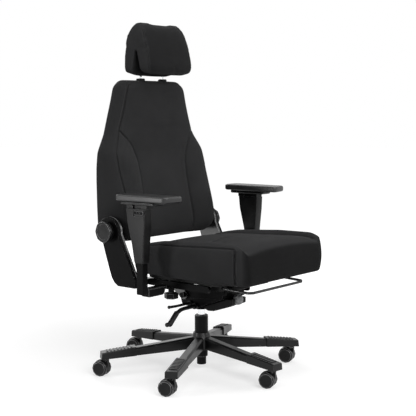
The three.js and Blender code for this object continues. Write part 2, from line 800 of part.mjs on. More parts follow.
// Column: outer tube, thrust bearing with its rod, and the gas cylinder
function buildColumn() {
  const floor = COLUMN_BOTTOM + COLUMN_FLOOR;
  const bore = GAS_RADIUS + GAP;
  add('column_outer', turned([
    [ROD_RADIUS + GAP, COLUMN_BOTTOM],
    [COLUMN_FOOT_RADIUS, COLUMN_BOTTOM],
    [COLUMN_FOOT_RADIUS, COLUMN_FOOT_TOP],
    [COLUMN_TAPER_RADIUS, COLUMN_FOOT_TOP + COLUMN_LIP],
    [COLUMN_TAPER_RADIUS, COLUMN_TAPER_TOP],
    [COLUMN_RADIUS, HUB_TOP],
    [COLUMN_RADIUS, COLUMN_TOP - COLUMN_LIP],
    [COLUMN_RADIUS - COLUMN_LIP, COLUMN_TOP],
    [bore, COLUMN_TOP],
    [bore, floor],
    [ROD_RADIUS + GAP, floor],
    [ROD_RADIUS + GAP, COLUMN_BOTTOM],
  ]), NYLON);
  add('piston_rod', turned([
    [0, COLUMN_BOTTOM - GAP - CLIP_HEIGHT],
    [CLIP_RADIUS, COLUMN_BOTTOM - GAP - CLIP_HEIGHT],
    [CLIP_RADIUS, COLUMN_BOTTOM - GAP],
    [ROD_RADIUS, COLUMN_BOTTOM - GAP],
    [ROD_RADIUS, floor + GAP],
    [BEARING_RADIUS, floor + GAP],
    [BEARING_RADIUS, floor + GAP + BEARING_HEIGHT],
    [ROD_RADIUS, floor + GAP + BEARING_HEIGHT],
    [ROD_RADIUS, ROD_TOP],
    [0, ROD_TOP],
  ], PIN_STEPS), CHROME);
  add('gas_cylinder', turned([
    [ROD_RADIUS + GAP, GAS_BOTTOM],
    [GAS_RADIUS, GAS_BOTTOM],
    [GAS_RADIUS, GAS_CONE_START],
    [GAS_CONE_RADIUS, GAS_TOP],
    [GAS_BUTTON_RADIUS, GAS_TOP],
    [GAS_BUTTON_RADIUS, GAS_TOP + GAS_BUTTON_HEIGHT],
    [0, GAS_TOP + GAS_BUTTON_HEIGHT],
    [0, ROD_TOP + OVERRUN],
    [ROD_RADIUS + GAP, ROD_TOP + OVERRUN],
    [ROD_RADIUS + GAP, GAS_BOTTOM],
  ]), CHROME);
}

// Mechanism housing with its pivots, sunk side panels and the cone socket
const HOUSING_SIDE = HOUSING_WIDTH / 2;

function housingBottomAt(y) {
  const share = (y - HOUSING_KNEE) / (HOUSING_NOSE_FOOT - HOUSING_KNEE);
  return mix(HOUSING_DEEP, HOUSING_NOSE_BOTTOM, THREE.MathUtils.clamp(share, 0, 1));
}

function mechanismHousing() {
  const length = HOUSING_REAR - HOUSING_FRONT;
  const height = HOUSING_TOP - HOUSING_DEEP;
  const shape = outline([
    [HOUSING_REAR, HOUSING_REAR_TOP, HOUSING_ROUND],
    [HOUSING_LEVEL, HOUSING_TOP, HOUSING_ROUND],
    [HOUSING_FRONT, HOUSING_TOP, HOUSING_ROUND / 2],
    [HOUSING_FRONT, HOUSING_LIP, HOUSING_ROUND / 2],
    [HOUSING_NOSE_FOOT, HOUSING_LIP_REAR],
    [HOUSING_NOSE_FOOT, HOUSING_NOSE_BOTTOM],
    [HOUSING_KNEE, HOUSING_DEEP, HOUSING_ROUND],
    [HOUSING_REAR_FOOT, HOUSING_DEEP, HOUSING_ROUND],
    [HOUSING_REAR, (HOUSING_DEEP + HOUSING_REAR_TOP) / 2, HOUSING_ROUND],
  ]);
  const shell = sideSlab(shape, -HOUSING_SIDE, HOUSING_SIDE, HOUSING_BEVEL);
  const socket = disc(SOCKET_RADIUS, SOCKET_BOTTOM, HOUSING_DEEP + OVERRUN, ROUND_STEPS);
  const coneBore = turned([
    [0, SOCKET_BOTTOM - OVERRUN],
    [GAS_RADIUS + GAP, SOCKET_BOTTOM - OVERRUN],
    [GAS_RADIUS + GAP, GAS_CONE_START],
    [GAS_CONE_RADIUS + GAP, GAS_TOP],
    [GAS_CONE_RADIUS + GAP, GAS_TOP + GAP],
    [GAS_BUTTON_RADIUS + GAP, GAS_TOP + GAP],
    [GAS_BUTTON_RADIUS + GAP, GAS_TOP + GAS_BUTTON_HEIGHT + GAP],
    [0, GAS_TOP + GAS_BUTTON_HEIGHT + GAP],
  ]);
  const shaftBore = pin(SHAFT_RADIUS + GAP, -HOUSING_WIDTH, HOUSING_WIDTH, RECLINE_Y, RECLINE_Z);
  const panel = outline(PANEL_SHARES.map(([forward, up]) => [
    HOUSING_REAR - forward * length, HOUSING_DEEP + up * height, HOUSING_ROUND,
  ]));
  const panels = [
    sideSlab(panel, HOUSING_SIDE - PANEL_DEPTH, HOUSING_SIDE + OVERRUN),
    sideSlab(panel, -HOUSING_SIDE - OVERRUN, -HOUSING_SIDE + PANEL_DEPTH),
  ];
  const reach = HOUSING_SIDE + SEAT_PIN_LENGTH;
  const seatPins = pin(SEAT_PIN_RADIUS, -reach, reach, SEAT_PIVOT_Y, SEAT_PIVOT_Z);
  return joined(cut(joined(shell, socket), coneBore, shaftBore, ...panels), seatPins);
}

function coverBottomAt(share) {
  const y = mix(COVER_REAR, COVER_FRONT, share);
  return housingBottomAt(y) - GAP - COVER_DEPTH * along(COVER_DEPTH_SHARES, share);
}

function mechanismCover() {
  const top = [COVER_FRONT, HOUSING_NOSE_FOOT, COVER_REAR].map((y) => [y, housingBottomAt(y) - GAP]);
  const bottom = COVER_DEPTH_SHARES.map(([share]) => [
    mix(COVER_REAR, COVER_FRONT, share), coverBottomAt(share), COVER_BEVEL,
  ]);
  const half = COVER_WIDTH / 2;
  const shell = sideSlab(outline([...top, ...bottom]), -half, half, COVER_BEVEL / 2);
  const ribs = [];
  for (let i = 0; i < COVER_RIB_COUNT; i += 1) {
    const share = mix(COVER_RIB_FIRST_SHARE, COVER_RIB_LAST_SHARE, i / (COVER_RIB_COUNT - 1));
    const y = mix(COVER_REAR, COVER_FRONT, share);
    const foot = coverBottomAt(share) - COVER_RIB_HEIGHT;
    const reach = half - COVER_RIB_MARGIN;
    ribs.push(block(
      -reach, reach, y - COVER_RIB_WIDTH / 2, y + COVER_RIB_WIDTH / 2, foot, foot + 2 * COVER_BEVEL,
    ));
  }
  const notch = block(
    -COVER_NOTCH, COVER_NOTCH, COVER_FRONT - OVERRUN, COVER_NOTCH_WALL, HOUSING_DEEP, HOUSING_TOP,
  );
  const studBore = onNotchWall(disc(TENSION_STUD_RADIUS + GAP, -TENSION_STUD - GAP, OVERRUN));
  return cut(joined(shell, ...ribs), notch, studBore);
}

// Along +Z from the cover's wall; the stud reaches back into the cover
function tensionKnob() {
  const end = TENSION_NECK + TENSION_LENGTH;
  const grip = fluted(TENSION_RADIUS, TENSION_LOBES, TENSION_FLUTE, TENSION_NECK, end, TENSION_FLUTE);
  const face = TENSION_RADIUS - 2 * TENSION_FLUTE;
  const dome = turned([
    [0, end - TENSION_FLUTE],
    ...TENSION_DOME_SHARES.map(([r, z]) => [r * face, end + z * TENSION_DOME - TENSION_FLUTE / 2]),
  ], PIN_STEPS);
  const neck = disc(TENSION_NECK_RADIUS, 0, TENSION_NECK + TENSION_FLUTE);
  const stud = disc(TENSION_STUD_RADIUS, -TENSION_STUD, TENSION_FLUTE);
  return joined(grip, dome, neck, stud);
}

// From the knob's own axis to its place on the wall behind the notch
function onNotchWall(geometry) {
  const tilt = THREE.MathUtils.degToRad(TENSION_TILT);
  return geometry.rotateX(Math.PI / 2 - tilt).translate(0, COVER_NOTCH_WALL - TENSION_LIFT, TENSION_Z);
}

// Levers: a collar on the housing, a shank and a grip
function heightLever() {
  const shank = bentBar([
    [0, 0, 0],
    [-LEVER_COLLAR - LEVER_REACH, 0, 0],
    [-LEVER_COLLAR - LEVER_REACH - LEVER_OUT, 0, -LEVER_DROP],
  ], LEVER_RADIUS, LEVER_BEND, LEVER_STEPS);
  const collar = pin(LEVER_COLLAR_RADIUS, -LEVER_COLLAR, 0, 0, 0);
  const slope = Math.atan2(LEVER_DROP, LEVER_OUT);
  const length = Math.hypot(LEVER_OUT, LEVER_DROP);
  const half = LEVER_PADDLE_WIDTH / 2;
  const grip = prism(
    rectangle(-length, -half, -half, half, LEVER_RADIUS), -LEVER_RADIUS, LEVER_RADIUS, LEVER_BEVEL,
  );
  grip.rotateY(-slope).translate(-LEVER_COLLAR - LEVER_REACH, 0, 0);
  const ball = new THREE.SphereGeometry(LEVER_BALL_RADIUS, SMALL_STEPS, BALL_RINGS);
  ball.translate(
    -LEVER_COLLAR - LEVER_REACH - LEVER_OUT - LEVER_BALL_OUT, 0, LEVER_BALL_UP - LEVER_DROP,
  );
  return joined(shank, collar, grip, ball);
}

function tiltLever() {
  const shank = bentBar([
    [0, 0, 0],
    [-TILT_LEVER_REACH * TILT_LEVER_BEND_SHARE, 0, 0],
    [-TILT_LEVER_REACH, 0, TILT_LEVER_RISE],
  ], TILT_LEVER_RADIUS, TILT_LEVER_BEND, TILT_LEVER_STEPS);
  const collar = pin(2 * TILT_LEVER_RADIUS - GAP, -LEVER_COLLAR, 0, 0, 0);
  const tip = new THREE.SphereGeometry(TILT_LEVER_RADIUS * TILT_LEVER_TIP_SHARE, STEM_STEPS, BALL_RINGS);
  tip.translate(-TILT_LEVER_REACH, 0, TILT_LEVER_RISE);
  return joined(shank, collar, tip);
}

function buildMechanism() {
  add('mechanism_housing', mechanismHousing(), STEEL_PAINT);
  add('mechanism_cover', mechanismCover(), NYLON);
  const reach = HOUSING_SIDE + SHAFT_OVERHANG;
  add('cross_shaft', joined(
    pin(SHAFT_RADIUS, -reach, reach, RECLINE_Y, RECLINE_Z),
    pin(SHAFT_HEAD_RADIUS, reach, reach + SHAFT_HEAD, RECLINE_Y, RECLINE_Z),
    pin(SHAFT_HEAD_RADIUS, -reach - SHAFT_HEAD, -reach, RECLINE_Y, RECLINE_Z),
  ), STEEL_PAINT);
  add('tension_knob', onNotchWall(tensionKnob()), GREY_PLASTIC);
  add('height_lever', heightLever(), NYLON).position.set(-HOUSING_SIDE - GAP, LEVER_Y, LEVER_Z);
  add('tilt_lever', tiltLever(), NYLON).position.set(-HOUSING_SIDE - GAP, TILT_LEVER_Y, TILT_LEVER_Z);
}

// Seat frame: plate with two rails, pivot lugs, side beams and the channel for the brackets
const BRACKET_BOTTOM = FRAME_BOTTOM - GUIDE_ROOF - GAP - BRACKET_HEIGHT;
const CHANNEL_FOOT = BRACKET_BOTTOM - GAP - GUIDE_FLOOR;
const CLAMP_X = GUIDE_LENGTH / 2 - CLAMP_INSET;

function seatFrame() {
  const half = FRAME_WIDTH / 2;
  const nose = FRAME_NOSE_WIDTH / 2;
  const shoulder = FRAME_FRONT + FRAME_NOSE_LENGTH;
  const plate = prism(outline([
    [half, FRAME_REAR, FRAME_ROUND],
    [-half, FRAME_REAR, FRAME_ROUND],
    [-half, shoulder, FRAME_ROUND],
    [-nose, shoulder, FRAME_ROUND],
    [-nose, FRAME_FRONT, FRAME_ROUND],
    [nose, FRAME_FRONT, FRAME_ROUND],
    [nose, shoulder, FRAME_ROUND],
    [half, shoulder, FRAME_ROUND],
  ]), FRAME_BOTTOM, FRAME_BOTTOM + FRAME_PLATE);
  const parts = [plate];
  const channelHalf = BRACKET_HALF_DEPTH + GAP + GUIDE_WALL;
  const seatLevel = FRAME_BOTTOM + FRAME_PLATE / 2;
  const guideHalf = GUIDE_LENGTH / 2;
  parts.push(block(-guideHalf, guideHalf, -channelHalf, channelHalf, CHANNEL_FOOT, seatLevel));
  parts.push(block(
    -BEAM_OUTER, BEAM_OUTER, BEAM_REAR - BEAM_ROUND - TIE_WIDTH, BEAM_REAR - BEAM_ROUND,
    FRAME_BOTTOM, FRAME_BOTTOM + FRAME_PLATE,
  ));
  const inner = HOUSING_SIDE + GAP;
  const lug = outline([
    [SEAT_PIVOT_Y - LUG_WIDTH / 2, seatLevel],
    [SEAT_PIVOT_Y - LUG_WIDTH / 2, SEAT_PIVOT_Z - LUG_WIDTH / 2, LUG_ROUND],
    [SEAT_PIVOT_Y + LUG_WIDTH / 2, SEAT_PIVOT_Z - LUG_WIDTH / 2, LUG_ROUND],
    [SEAT_PIVOT_Y + LUG_WIDTH / 2, seatLevel],
  ]);
  const beam = rectangle(BEAM_FRONT, BEAM_REAR, BEAM_BOTTOM, BEAM_TOP, BEAM_ROUND);
  const fittings = [
    block(half - RAIL_WIDTH, half, RAIL_FRONT, FRAME_REAR - FRAME_ROUND, seatLevel, RAIL_TOP),
    sideSlab(lug, inner, inner + LUG_THICKNESS),
    sideSlab(beam, BEAM_OUTER - BEAM_WIDTH, BEAM_OUTER),
  ];
  parts.push(...fittings, ...fittings.map(mirrored));
  const tools = [
    pin(SEAT_PIN_RADIUS + GAP, -half, half, SEAT_PIVOT_Y, SEAT_PIVOT_Z),
    block(
      -guideHalf - OVERRUN, guideHalf + OVERRUN, -BRACKET_HALF_DEPTH - GAP, BRACKET_HALF_DEPTH + GAP,
      BRACKET_BOTTOM - GAP, FRAME_BOTTOM - GUIDE_ROOF,
    ),
  ];
  for (let i = 0; i < SLOT_COUNT; i += 1) {
    const y = SLOT_FIRST + i * SLOT_PITCH;
    const slot = rectangle(-SLOT_WIDTH / 2, SLOT_WIDTH / 2, y, y + SLOT_LENGTH, SLOT_WIDTH / 4);
    tools.push(prism(slot, FRAME_BOTTOM - OVERRUN, FRAME_BOTTOM + FRAME_PLATE + OVERRUN));
  }
  const stud = disc(CLAMP_STUD_RADIUS + GAP, CHANNEL_FOOT - OVERRUN, BRACKET_BOTTOM);
  tools.push(stud.clone().translate(CLAMP_X, 0, 0), stud.clone().translate(-CLAMP_X, 0, 0));
  return cut(joined(...parts), ...tools);
}

// Depth bar: a U of round bar whose legs end in two clips under the pan
const PAN_BOTTOM = RAIL_TOP + GAP;

function depthBar() {
  const tailY = BAR_FRONT + BAR_LEG;
  const tailZ = BAR_Z + BAR_RISE;
  return bentBar([
    [-BAR_HALF_WIDTH, tailY, tailZ],
    [-BAR_HALF_WIDTH, BAR_FRONT, BAR_Z],
    [BAR_HALF_WIDTH, BAR_FRONT, BAR_Z],
    [BAR_HALF_WIDTH, tailY, tailZ],
  ], BAR_RADIUS, BAR_BEND, BAR_STEPS);
}

// A straight round bar along one leg of the U
function barLeg(radius, length) {
  const leg = disc(radius, 0, length).rotateX(-Math.PI / 2);
  return leg.rotateX(Math.atan2(BAR_RISE, BAR_LEG)).translate(0, BAR_FRONT, BAR_Z);
}

// Seat pan: a moulded tray with pockets below, walls beside the rails and two bar clips
const PAN_TOP = PAN_BOTTOM + PAN_HEIGHT;

function seatPan() {
  const half = PAN_WIDTH / 2;
  const plan = rectangle(-half, half, PAN_FRONT, PAN_REAR, PAN_ROUND);
  const tray = prism(plan, PAN_BOTTOM, PAN_TOP, PAN_BEVEL);
  const railInner = FRAME_WIDTH / 2 - RAIL_WIDTH - PAN_WALL;
  const railOuter = FRAME_WIDTH / 2 + PAN_WALL;
  const rim = half - PAN_WALL;
  const corner = PAN_ROUND / 3;
  const columns = [[-rim, -railOuter], [-railInner, railInner], [railOuter, rim]];
  const middle = BAR_FRONT + BAR_LEG + BAR_CLIP_LENGTH;
  const rows = [[PAN_FRONT + PAN_WALL, middle - PAN_WALL], [middle, PAN_REAR - PAN_WALL]];
  const pockets = columns.flatMap(([x0, x1]) => rows.map(([y0, y1]) => prism(
    rectangle(x0, x1, y0, y1, corner), PAN_BOTTOM - OVERRUN, PAN_TOP - PAN_SKIN,
  )));
  const clips = [];
  const holes = [];
  for (const sign of [-1, 1]) {
    const x = sign * BAR_HALF_WIDTH;
    const y = BAR_FRONT + BAR_LEG;
    const foot = BAR_Z + BAR_RISE - 2 * BAR_RADIUS;
    clips.push(block(
      x - BAR_CLIP_WIDTH / 2, x + BAR_CLIP_WIDTH / 2, y - BAR_CLIP_LENGTH, y + PAN_WALL,
      foot, PAN_TOP - PAN_SKIN / 2,
    ));
    const hole = barLeg(BAR_RADIUS + GAP, BAR_LEG + GAP).translate(x, 0, 0);
    holes.push(hole, hole.clone().translate(0, 0, BAR_PLAY));
  }
  return cut(joined(cut(tray, ...pockets), ...clips), ...holes);
}

// Seat cushion: a panel between two raised side bolsters, with a bowed cross seam
const SEAT_COLUMN_SHARES = [-1, -0.93, -0.86, -0.79, -0.72, -0.4, 0, 0.4, 0.72, 0.79, 0.86, 0.93, 1];
const SEAT_ROW_SHARES = [-1, -0.93, -0.82, -0.6, -0.35, -0.1, 0.03, 0.16, 0.5, 0.82, 0.93, 1];
const SEAT_LAYER_SHARES = [-1, -0.8, 0, 0.7, 1];
const SEAM_COLUMN_SHARE = 0.72;
const SEAT_CROSS_SHARE = 0.03;
const SEAT_CROSS_DEPTH_SHARE = 0.6; // of the side seams' depth
const SEAT_BOW_SHARE = 0.6; // of the half length, over which the bow fades
const SEAT_REAR_WIDTH_SHARE = 0.95;
const SEAT_FRONT_WIDTH_SHARE = 0.975;
const SEAT_NOSE_SHARE = 0.75; // of the half length, where the fall to the front begins
const SEAT_RISE_SHARES = [[-1, 0.8], [-0.71, 0.85], [-0.4, 1], [-0.12, 0.92], [0.44, 0.4], [1, 0]];
const SEAT_CREST_SHARES = [[-1, 0.6], [-0.8, 1], [-0.35, 1], [0.05, 0.8], [0.5, 0.4], [1, 0]];
const SEAT_PROFILE_SHARES = [
  [0, -0.1], [0.4, -0.15], [0.72, -0.35], [0.79, 0.6], [0.86, 1], [0.93, 0.8], [1, 0],
];

function seatTopAt(a, b, onCross) {
  const edge = SEAT_TOP + SEAT_RISE * along(SEAT_RISE_SHARES, b);
  const bolster = SEAT_CREST * along(SEAT_CREST_SHARES, b) * along(SEAT_PROFILE_SHARES, Math.abs(a));
  const nose = SEAT_NOSE * Math.max((-b - SEAT_NOSE_SHARE) / (1 - SEAT_NOSE_SHARE), 0) ** 2;
  const rear = SEAT_REAR_EDGE * Math.max(b, 0) ** 8;
  const onSeam = Math.abs(a) === SEAM_COLUMN_SHARE && Math.abs(b) < SEAT_NOSE_SHARE;
  const cross = onCross && Math.abs(a) < SEAM_COLUMN_SHARE ? SEAM_DEPTH * SEAT_CROSS_DEPTH_SHARE : 0;
  return edge + bolster - nose - rear - cross - (onSeam ? SEAM_DEPTH : 0);
}

// A share pair whose far corners are drawn in from a square to a disc
function rounded(a, b, cornerA, cornerB) {
  const u = Math.max((Math.abs(a) - 1) / cornerA + 1, 0);
  const v = Math.max((Math.abs(b) - 1) / cornerB + 1, 0);
  const across = a - Math.sign(a) * cornerA * u * (1 - Math.sqrt(1 - v * v / 2));
  const lengthways = b - Math.sign(b) * cornerB * v * (1 - Math.sqrt(1 - u * u / 2));
  return [across, lengthways];
}

function seatCushion() {
  const bottom = PAN_TOP + GAP;
  const middle = (SEAT_FRONT + SEAT_REAR) / 2;
  const halfLength = (SEAT_REAR - SEAT_FRONT) / 2;
  const [cornerA, cornerB] = [SEAT_CORNER / SEAT_HALF_WIDTH, SEAT_CORNER / halfLength];
  return pillow(SEAT_COLUMN_SHARES, SEAT_ROW_SHARES, SEAT_LAYER_SHARES, (a, b, c) => {
    const panel = Math.abs(a) / SEAM_COLUMN_SHARE;
    const side = Math.max(Math.abs(a) - SEAM_COLUMN_SHARE, 0) / (1 - SEAM_COLUMN_SHARE);
    const near = Math.max(1 - Math.abs(b - SEAT_CROSS_SHARE) / SEAT_BOW_SHARE, 0);
    const bow = SEAT_CROSS_BOW * near * Math.min(panel, 1) ** 2 * (1 - side);
    const [across, lengthways] = rounded(a, b, cornerA, cornerB);
    const width = SEAT_HALF_WIDTH * mix(1, b > 0 ? SEAT_REAR_WIDTH_SHARE : SEAT_FRONT_WIDTH_SHARE, b * b);
    const draw = SEAT_DRAW * c * c;
    const bulge = b < 0 ? SEAT_BULGE * a * a * b * b : 0;
    const y = middle + lengthways * (halfLength - draw) + bulge - bow;
    const top = seatTopAt(a, (y - middle) / halfLength, b === SEAT_CROSS_SHARE);
    return [across * (width - draw), y, mix(bottom, top, (c + 1) / 2)];
  });
}

function buildSeat() {
  add('seat_frame', seatFrame(), STEEL_PAINT);
  add('seat_pan', seatPan(), NYLON);
  add('depth_bar', depthBar(), STEEL_PAINT);
  add('seat_cushion', seatCushion(), FABRIC);
}

// Side plate: a round head on the hand wheel's axis and a curved strip down to a foot
function plateOutline() {
  const [from, to] = [PLATE_HEAD_FROM, PLATE_HEAD_TO].map(THREE.MathUtils.degToRad);
  const shape = new THREE.Shape();
  shape.absarc(BACK_PIVOT_Y, BACK_PIVOT_Z, PLATE_HEAD_RADIUS, from, to, false);
  shape.lineTo(PLATE_FRONT_LOW_Y, PLATE_FRONT_LOW_Z);
  shape.lineTo(PLATE_FRONT_LOW_Y, PLATE_BOTTOM + PLATE_TOE);
  shape.quadraticCurveTo(PLATE_FRONT_LOW_Y, PLATE_BOTTOM, PLATE_FRONT_LOW_Y + PLATE_TOE, PLATE_BOTTOM);
  for (const [back, up] of PLATE_REAR_SHARES) {
    shape.lineTo(mix(PLATE_FRONT_LOW_Y, BACK_PIVOT_Y, back), mix(PLATE_BOTTOM, BACK_PIVOT_Z, up));
  }
  return shape;
}

function plateSlab(x0, x1, bevel) {
  const slab = new THREE.ExtrudeGeometry(plateOutline(), {
    depth: x1 - x0 - 2 * bevel,
    bevelThickness: bevel,
    bevelSize: bevel,
    bevelOffset: -bevel,
    bevelSegments: 1,
    curveSegments: PLATE_STEPS,
  });
  return slab.translate(0, 0, x0 + bevel).applyMatrix4(SIDE_VIEW);
}

// Back carrier: crossbar, two steel plates and the lugs on the recline shaft, welded up
function carrierFrame() {
  const reach = PLATE_INNER + PLATE_STEEL / 2;
  const bar = rectangle(CROSSBAR_FRONT, CROSSBAR_REAR, CROSSBAR_BOTTOM, CROSSBAR_TOP, PLATE_BEVEL);
  const plate = plateSlab(PLATE_INNER, PLATE_INNER + PLATE_STEEL, PLATE_BEVEL / 2);
  const lug = new THREE.Shape();
  const [from, to] = [LUG_ARC_FROM, LUG_ARC_TO].map(THREE.MathUtils.degToRad);
  lug.absarc(RECLINE_Y, RECLINE_Z, CARRIER_LUG_RADIUS, from, to, false);
  lug.lineTo(CROSSBAR_REAR - PLATE_BEVEL, CROSSBAR_BOTTOM + PLATE_BEVEL);
  lug.lineTo(CROSSBAR_REAR - PLATE_BEVEL, CROSSBAR_TOP - PLATE_BEVEL);
  lug.lineTo(CROSSBAR_FRONT + PLATE_BEVEL, CROSSBAR_TOP - 2 * PLATE_BEVEL);
  const inner = HOUSING_SIDE + GAP;
  const ear = sideSlab(lug, inner, inner + CARRIER_LUG);
  return cut(
    joined(sideSlab(bar, -reach, reach), plate, mirrored(plate), ear, mirrored(ear)),
    pin(SHAFT_RADIUS + GAP, -HOUSING_WIDTH, HOUSING_WIDTH, RECLINE_Y, RECLINE_Z),
    pin(SPINDLE_RADIUS + GAP, -KNOB_FACE, KNOB_FACE, BACK_PIVOT_Y, BACK_PIVOT_Z),
  );
}

function plateCover() {
  const cover = plateSlab(PLATE_INNER + PLATE_STEEL + GAP, PLATE_OUTER, PLATE_BEVEL);
  return cut(cover, pin(SPINDLE_RADIUS + GAP, PLATE_INNER, KNOB_FACE, BACK_PIVOT_Y, BACK_PIVOT_Z));
}

// Hand wheel with its hub, and the flanged pivot that it clamps
function handWheel() {
  const back = PLATE_OUTER + GAP;
  const rim = KNOB_FACE - KNOB_DISC;
  const grip = fluted(KNOB_RADIUS, KNOB_LOBES, KNOB_FLUTE, rim, KNOB_FACE, KNOB_FLUTE);
  const hub = disc(KNOB_HUB_RADIUS, back, rim + OVERRUN / 2, ROUND_STEPS);
  const dish = disc(KNOB_DISH_RADIUS, KNOB_FACE - KNOB_DISH, KNOB_FACE + OVERRUN, ROUND_STEPS);
  const bore = disc(SPINDLE_RADIUS + GAP, back - OVERRUN, KNOB_FACE - 2 * KNOB_DISH);
  return alongX(cut(joined(grip, hub), dish, bore), BACK_PIVOT_Y, BACK_PIVOT_Z);
}

function backPivot() {
  const face = PLATE_INNER - GAP;
  return alongX(turned([
    [0, face - PIVOT_FLANGE],
    [PIVOT_FLANGE_RADIUS, face - PIVOT_FLANGE],
    [PIVOT_FLANGE_RADIUS, face],
    [SPINDLE_RADIUS, face],
    [SPINDLE_RADIUS, KNOB_FACE - 3 * KNOB_DISH],
    [0, KNOB_FACE - 3 * KNOB_DISH],
  ]), BACK_PIVOT_Y, BACK_PIVOT_Z);
}

// Back cushion: tapered outline, side bolsters in front of a sewn middle panel
const BACK_HALF_WIDTH_SHARES = [
  [0, 0.88], [0.02, 0.945], [0.09, 0.985], [0.2, 0.995], [0.37, 1], [0.46, 0.995], [0.55, 0.97],
  [0.66, 0.84], [0.77, 0.765], [0.87, 0.695], [0.92, 0.665], [0.965, 0.64], [0.99, 0.59], [1, 0.53],
];
const BACK_PANEL_SHARES = [
  [0, 0.57], [0.1, 0.55], [0.33, 0.505], [0.42, 0.51], [0.52, 0.54], [0.6, 0.68], [0.66, 0.82],
  [0.75, 0.86], [1, 0.86],
];
const BACK_FRONT_SHARES = [
  [0, 0], [0.33, 0.46], [0.52, 0.8], [0.66, 0.95], [0.74, 1], [0.85, 1], [0.92, 0.97], [1, 0.85],
];
const BACK_WING_SHARES = [
  [0, 0.6], [0.06, 0.96], [0.16, 1], [0.25, 0.82], [0.34, 0.62], [0.42, 0.5], [0.5, 0.5],
  [0.59, 0.34], [0.66, 0], [1, 0],
];
const BACK_ROW_SHARES = [0, 0.02, 0.09, 0.2, 0.31, 0.42, 0.52, 0.6, 0.66, 0.75, 0.87, 0.965, 0.99, 1];
const BACK_COLUMN_SHARES = [
  -1, -0.92, -0.72, -0.57, -0.5, -0.43, -0.2, 0, 0.2, 0.43, 0.5, 0.57, 0.72, 0.92, 1,
];
const BACK_LAYER_SHARES = [-1, -0.6, 0.1, 1];
const BACK_SEAM_SHARE = 0.5;
const BACK_EDGE_SHARE = 0.16; // how far the front edges round back
const BACK_WING_POWER_SHARE = 0.8; // below one the bolster rises quickly from its seam

function backCushion() {
  const height = BACK_TOP - BACK_BOTTOM;
  const form = pillow(BACK_COLUMN_SHARES, BACK_ROW_SHARES, BACK_LAYER_SHARES, (a, b, c) => {
    const half = BACK_HALF_WIDTH * along(BACK_HALF_WIDTH_SHARES, b);
    const panel = along(BACK_PANEL_SHARES, b) / BACK_SEAM_SHARE;
    const inner = Math.min(Math.abs(a), BACK_SEAM_SHARE) * panel;
    const outer = Math.max(Math.abs(a) - BACK_SEAM_SHARE, 0) / (1 - BACK_SEAM_SHARE);
    const across = Math.sign(a) * (inner + outer * (1 - panel * BACK_SEAM_SHARE));
    const middle = mix(BACK_FRONT_LOW, BACK_FRONT_HIGH, along(BACK_FRONT_SHARES, b));
    const wing = BACK_WING * along(BACK_WING_SHARES, b) * outer ** BACK_WING_POWER_SHARE;
    const depth = BACK_REAR - middle + wing;
    const edge = BACK_EDGE_SHARE * depth * (Math.abs(across) ** 16 + (2 * b - 1) ** 12);
    const seam = Math.abs(a) === BACK_SEAM_SHARE && b > 0 && b < 1 ? SEAM_DEPTH : 0;
    const front = BACK_REAR - depth + edge + seam;
    const draw = BACK_DRAW * c * c;
    const x = across * (half - draw);
    const y = mix(front, BACK_REAR, (c + 1) / 2);
    return [x, y, BACK_BOTTOM + b * height + (b > 0.5 ? -draw : draw) * (2 * b - 1) ** 2];
  });
  const tools = [];
  for (const sign of [-1, 1]) {
    const faces = [sign * (PLATE_INNER - PIVOT_FLANGE - 2 * GAP), sign * (PLATE_INNER + OVERRUN)];
    const [low, high] = faces.sort((p, q) => p - q);
    tools.push(pin(PIVOT_FLANGE_RADIUS + GAP, low, high, BACK_PIVOT_Y, BACK_PIVOT_Z, ROUND_STEPS));
    const bore = disc(SLEEVE_RADIUS + GAP, POST_BOTTOM - OVERRUN, BACK_TOP + OVERRUN);
    tools.push(bore.translate(sign * POST_HALF_SPACING, POST_Y, 0));
    const seat = sleeveCap(GAP, BACK_TOP - BACK_DRAW - GAP, BACK_TOP + OVERRUN, 0);
    tools.push(seat.translate(sign * POST_HALF_SPACING, POST_Y, 0));
  }
  return cut(form, ...tools);
}

const SHELL_TAPER_SHARE = 0.62; // top width to bottom width
const SHELL_SHOULDER_SHARE = 0.55; // of the height, where the taper begins

function backShell() {
  const front = BACK_REAR + GAP;
  const rear = front + SHELL_THICKNESS;
  const panel = (inset, y0, y1, bevel) => {
    const low = SHELL_HALF_WIDTH - inset;
    const high = SHELL_HALF_WIDTH * SHELL_TAPER_SHARE - inset;
    const turn = SHELL_ROUND - inset;
    const shoulder = mix(SHELL_BOTTOM, SHELL_TOP, SHELL_SHOULDER_SHARE);
    return rearSlab(outline([
      [SHELL_BOTTOM + inset, -low, turn],
      [SHELL_BOTTOM + inset, low, turn],
      [shoulder, low, turn],
      [SHELL_TOP - inset, high, turn],
      [SHELL_TOP - inset, -high, turn],
      [shoulder, -low, turn],
    ]), y0, y1, bevel);
  };
  return cut(
    panel(0, front, rear, SHELL_THICKNESS / 3),
    panel(SHELL_RIM, rear - SHELL_RIM_DEPTH, rear + OVERRUN, 0),
  );
}

function sleeveCap(margin, z0, z1, bevel) {
  const [x, y] = [SLEEVE_CAP_LENGTH / 2 + margin, SLEEVE_CAP_WIDTH / 2 + margin];
  return prism(rectangle(-x, x, -y, y, SLEEVE_CAP_WIDTH / 3), z0, z1, bevel);
}

function postSleeve() {
  const capFoot = BACK_TOP - BACK_DRAW;
  const tube = disc(SLEEVE_RADIUS, SLEEVE_BOTTOM, capFoot + OVERRUN);
  const cap = sleeveCap(0, capFoot, capFoot + SLEEVE_CAP, SLEEVE_CAP / 5);
  return cut(joined(tube, cap), disc(POST_RADIUS + GAP, SLEEVE_BOTTOM - OVERRUN, capFoot + 2 * SLEEVE_CAP));
}

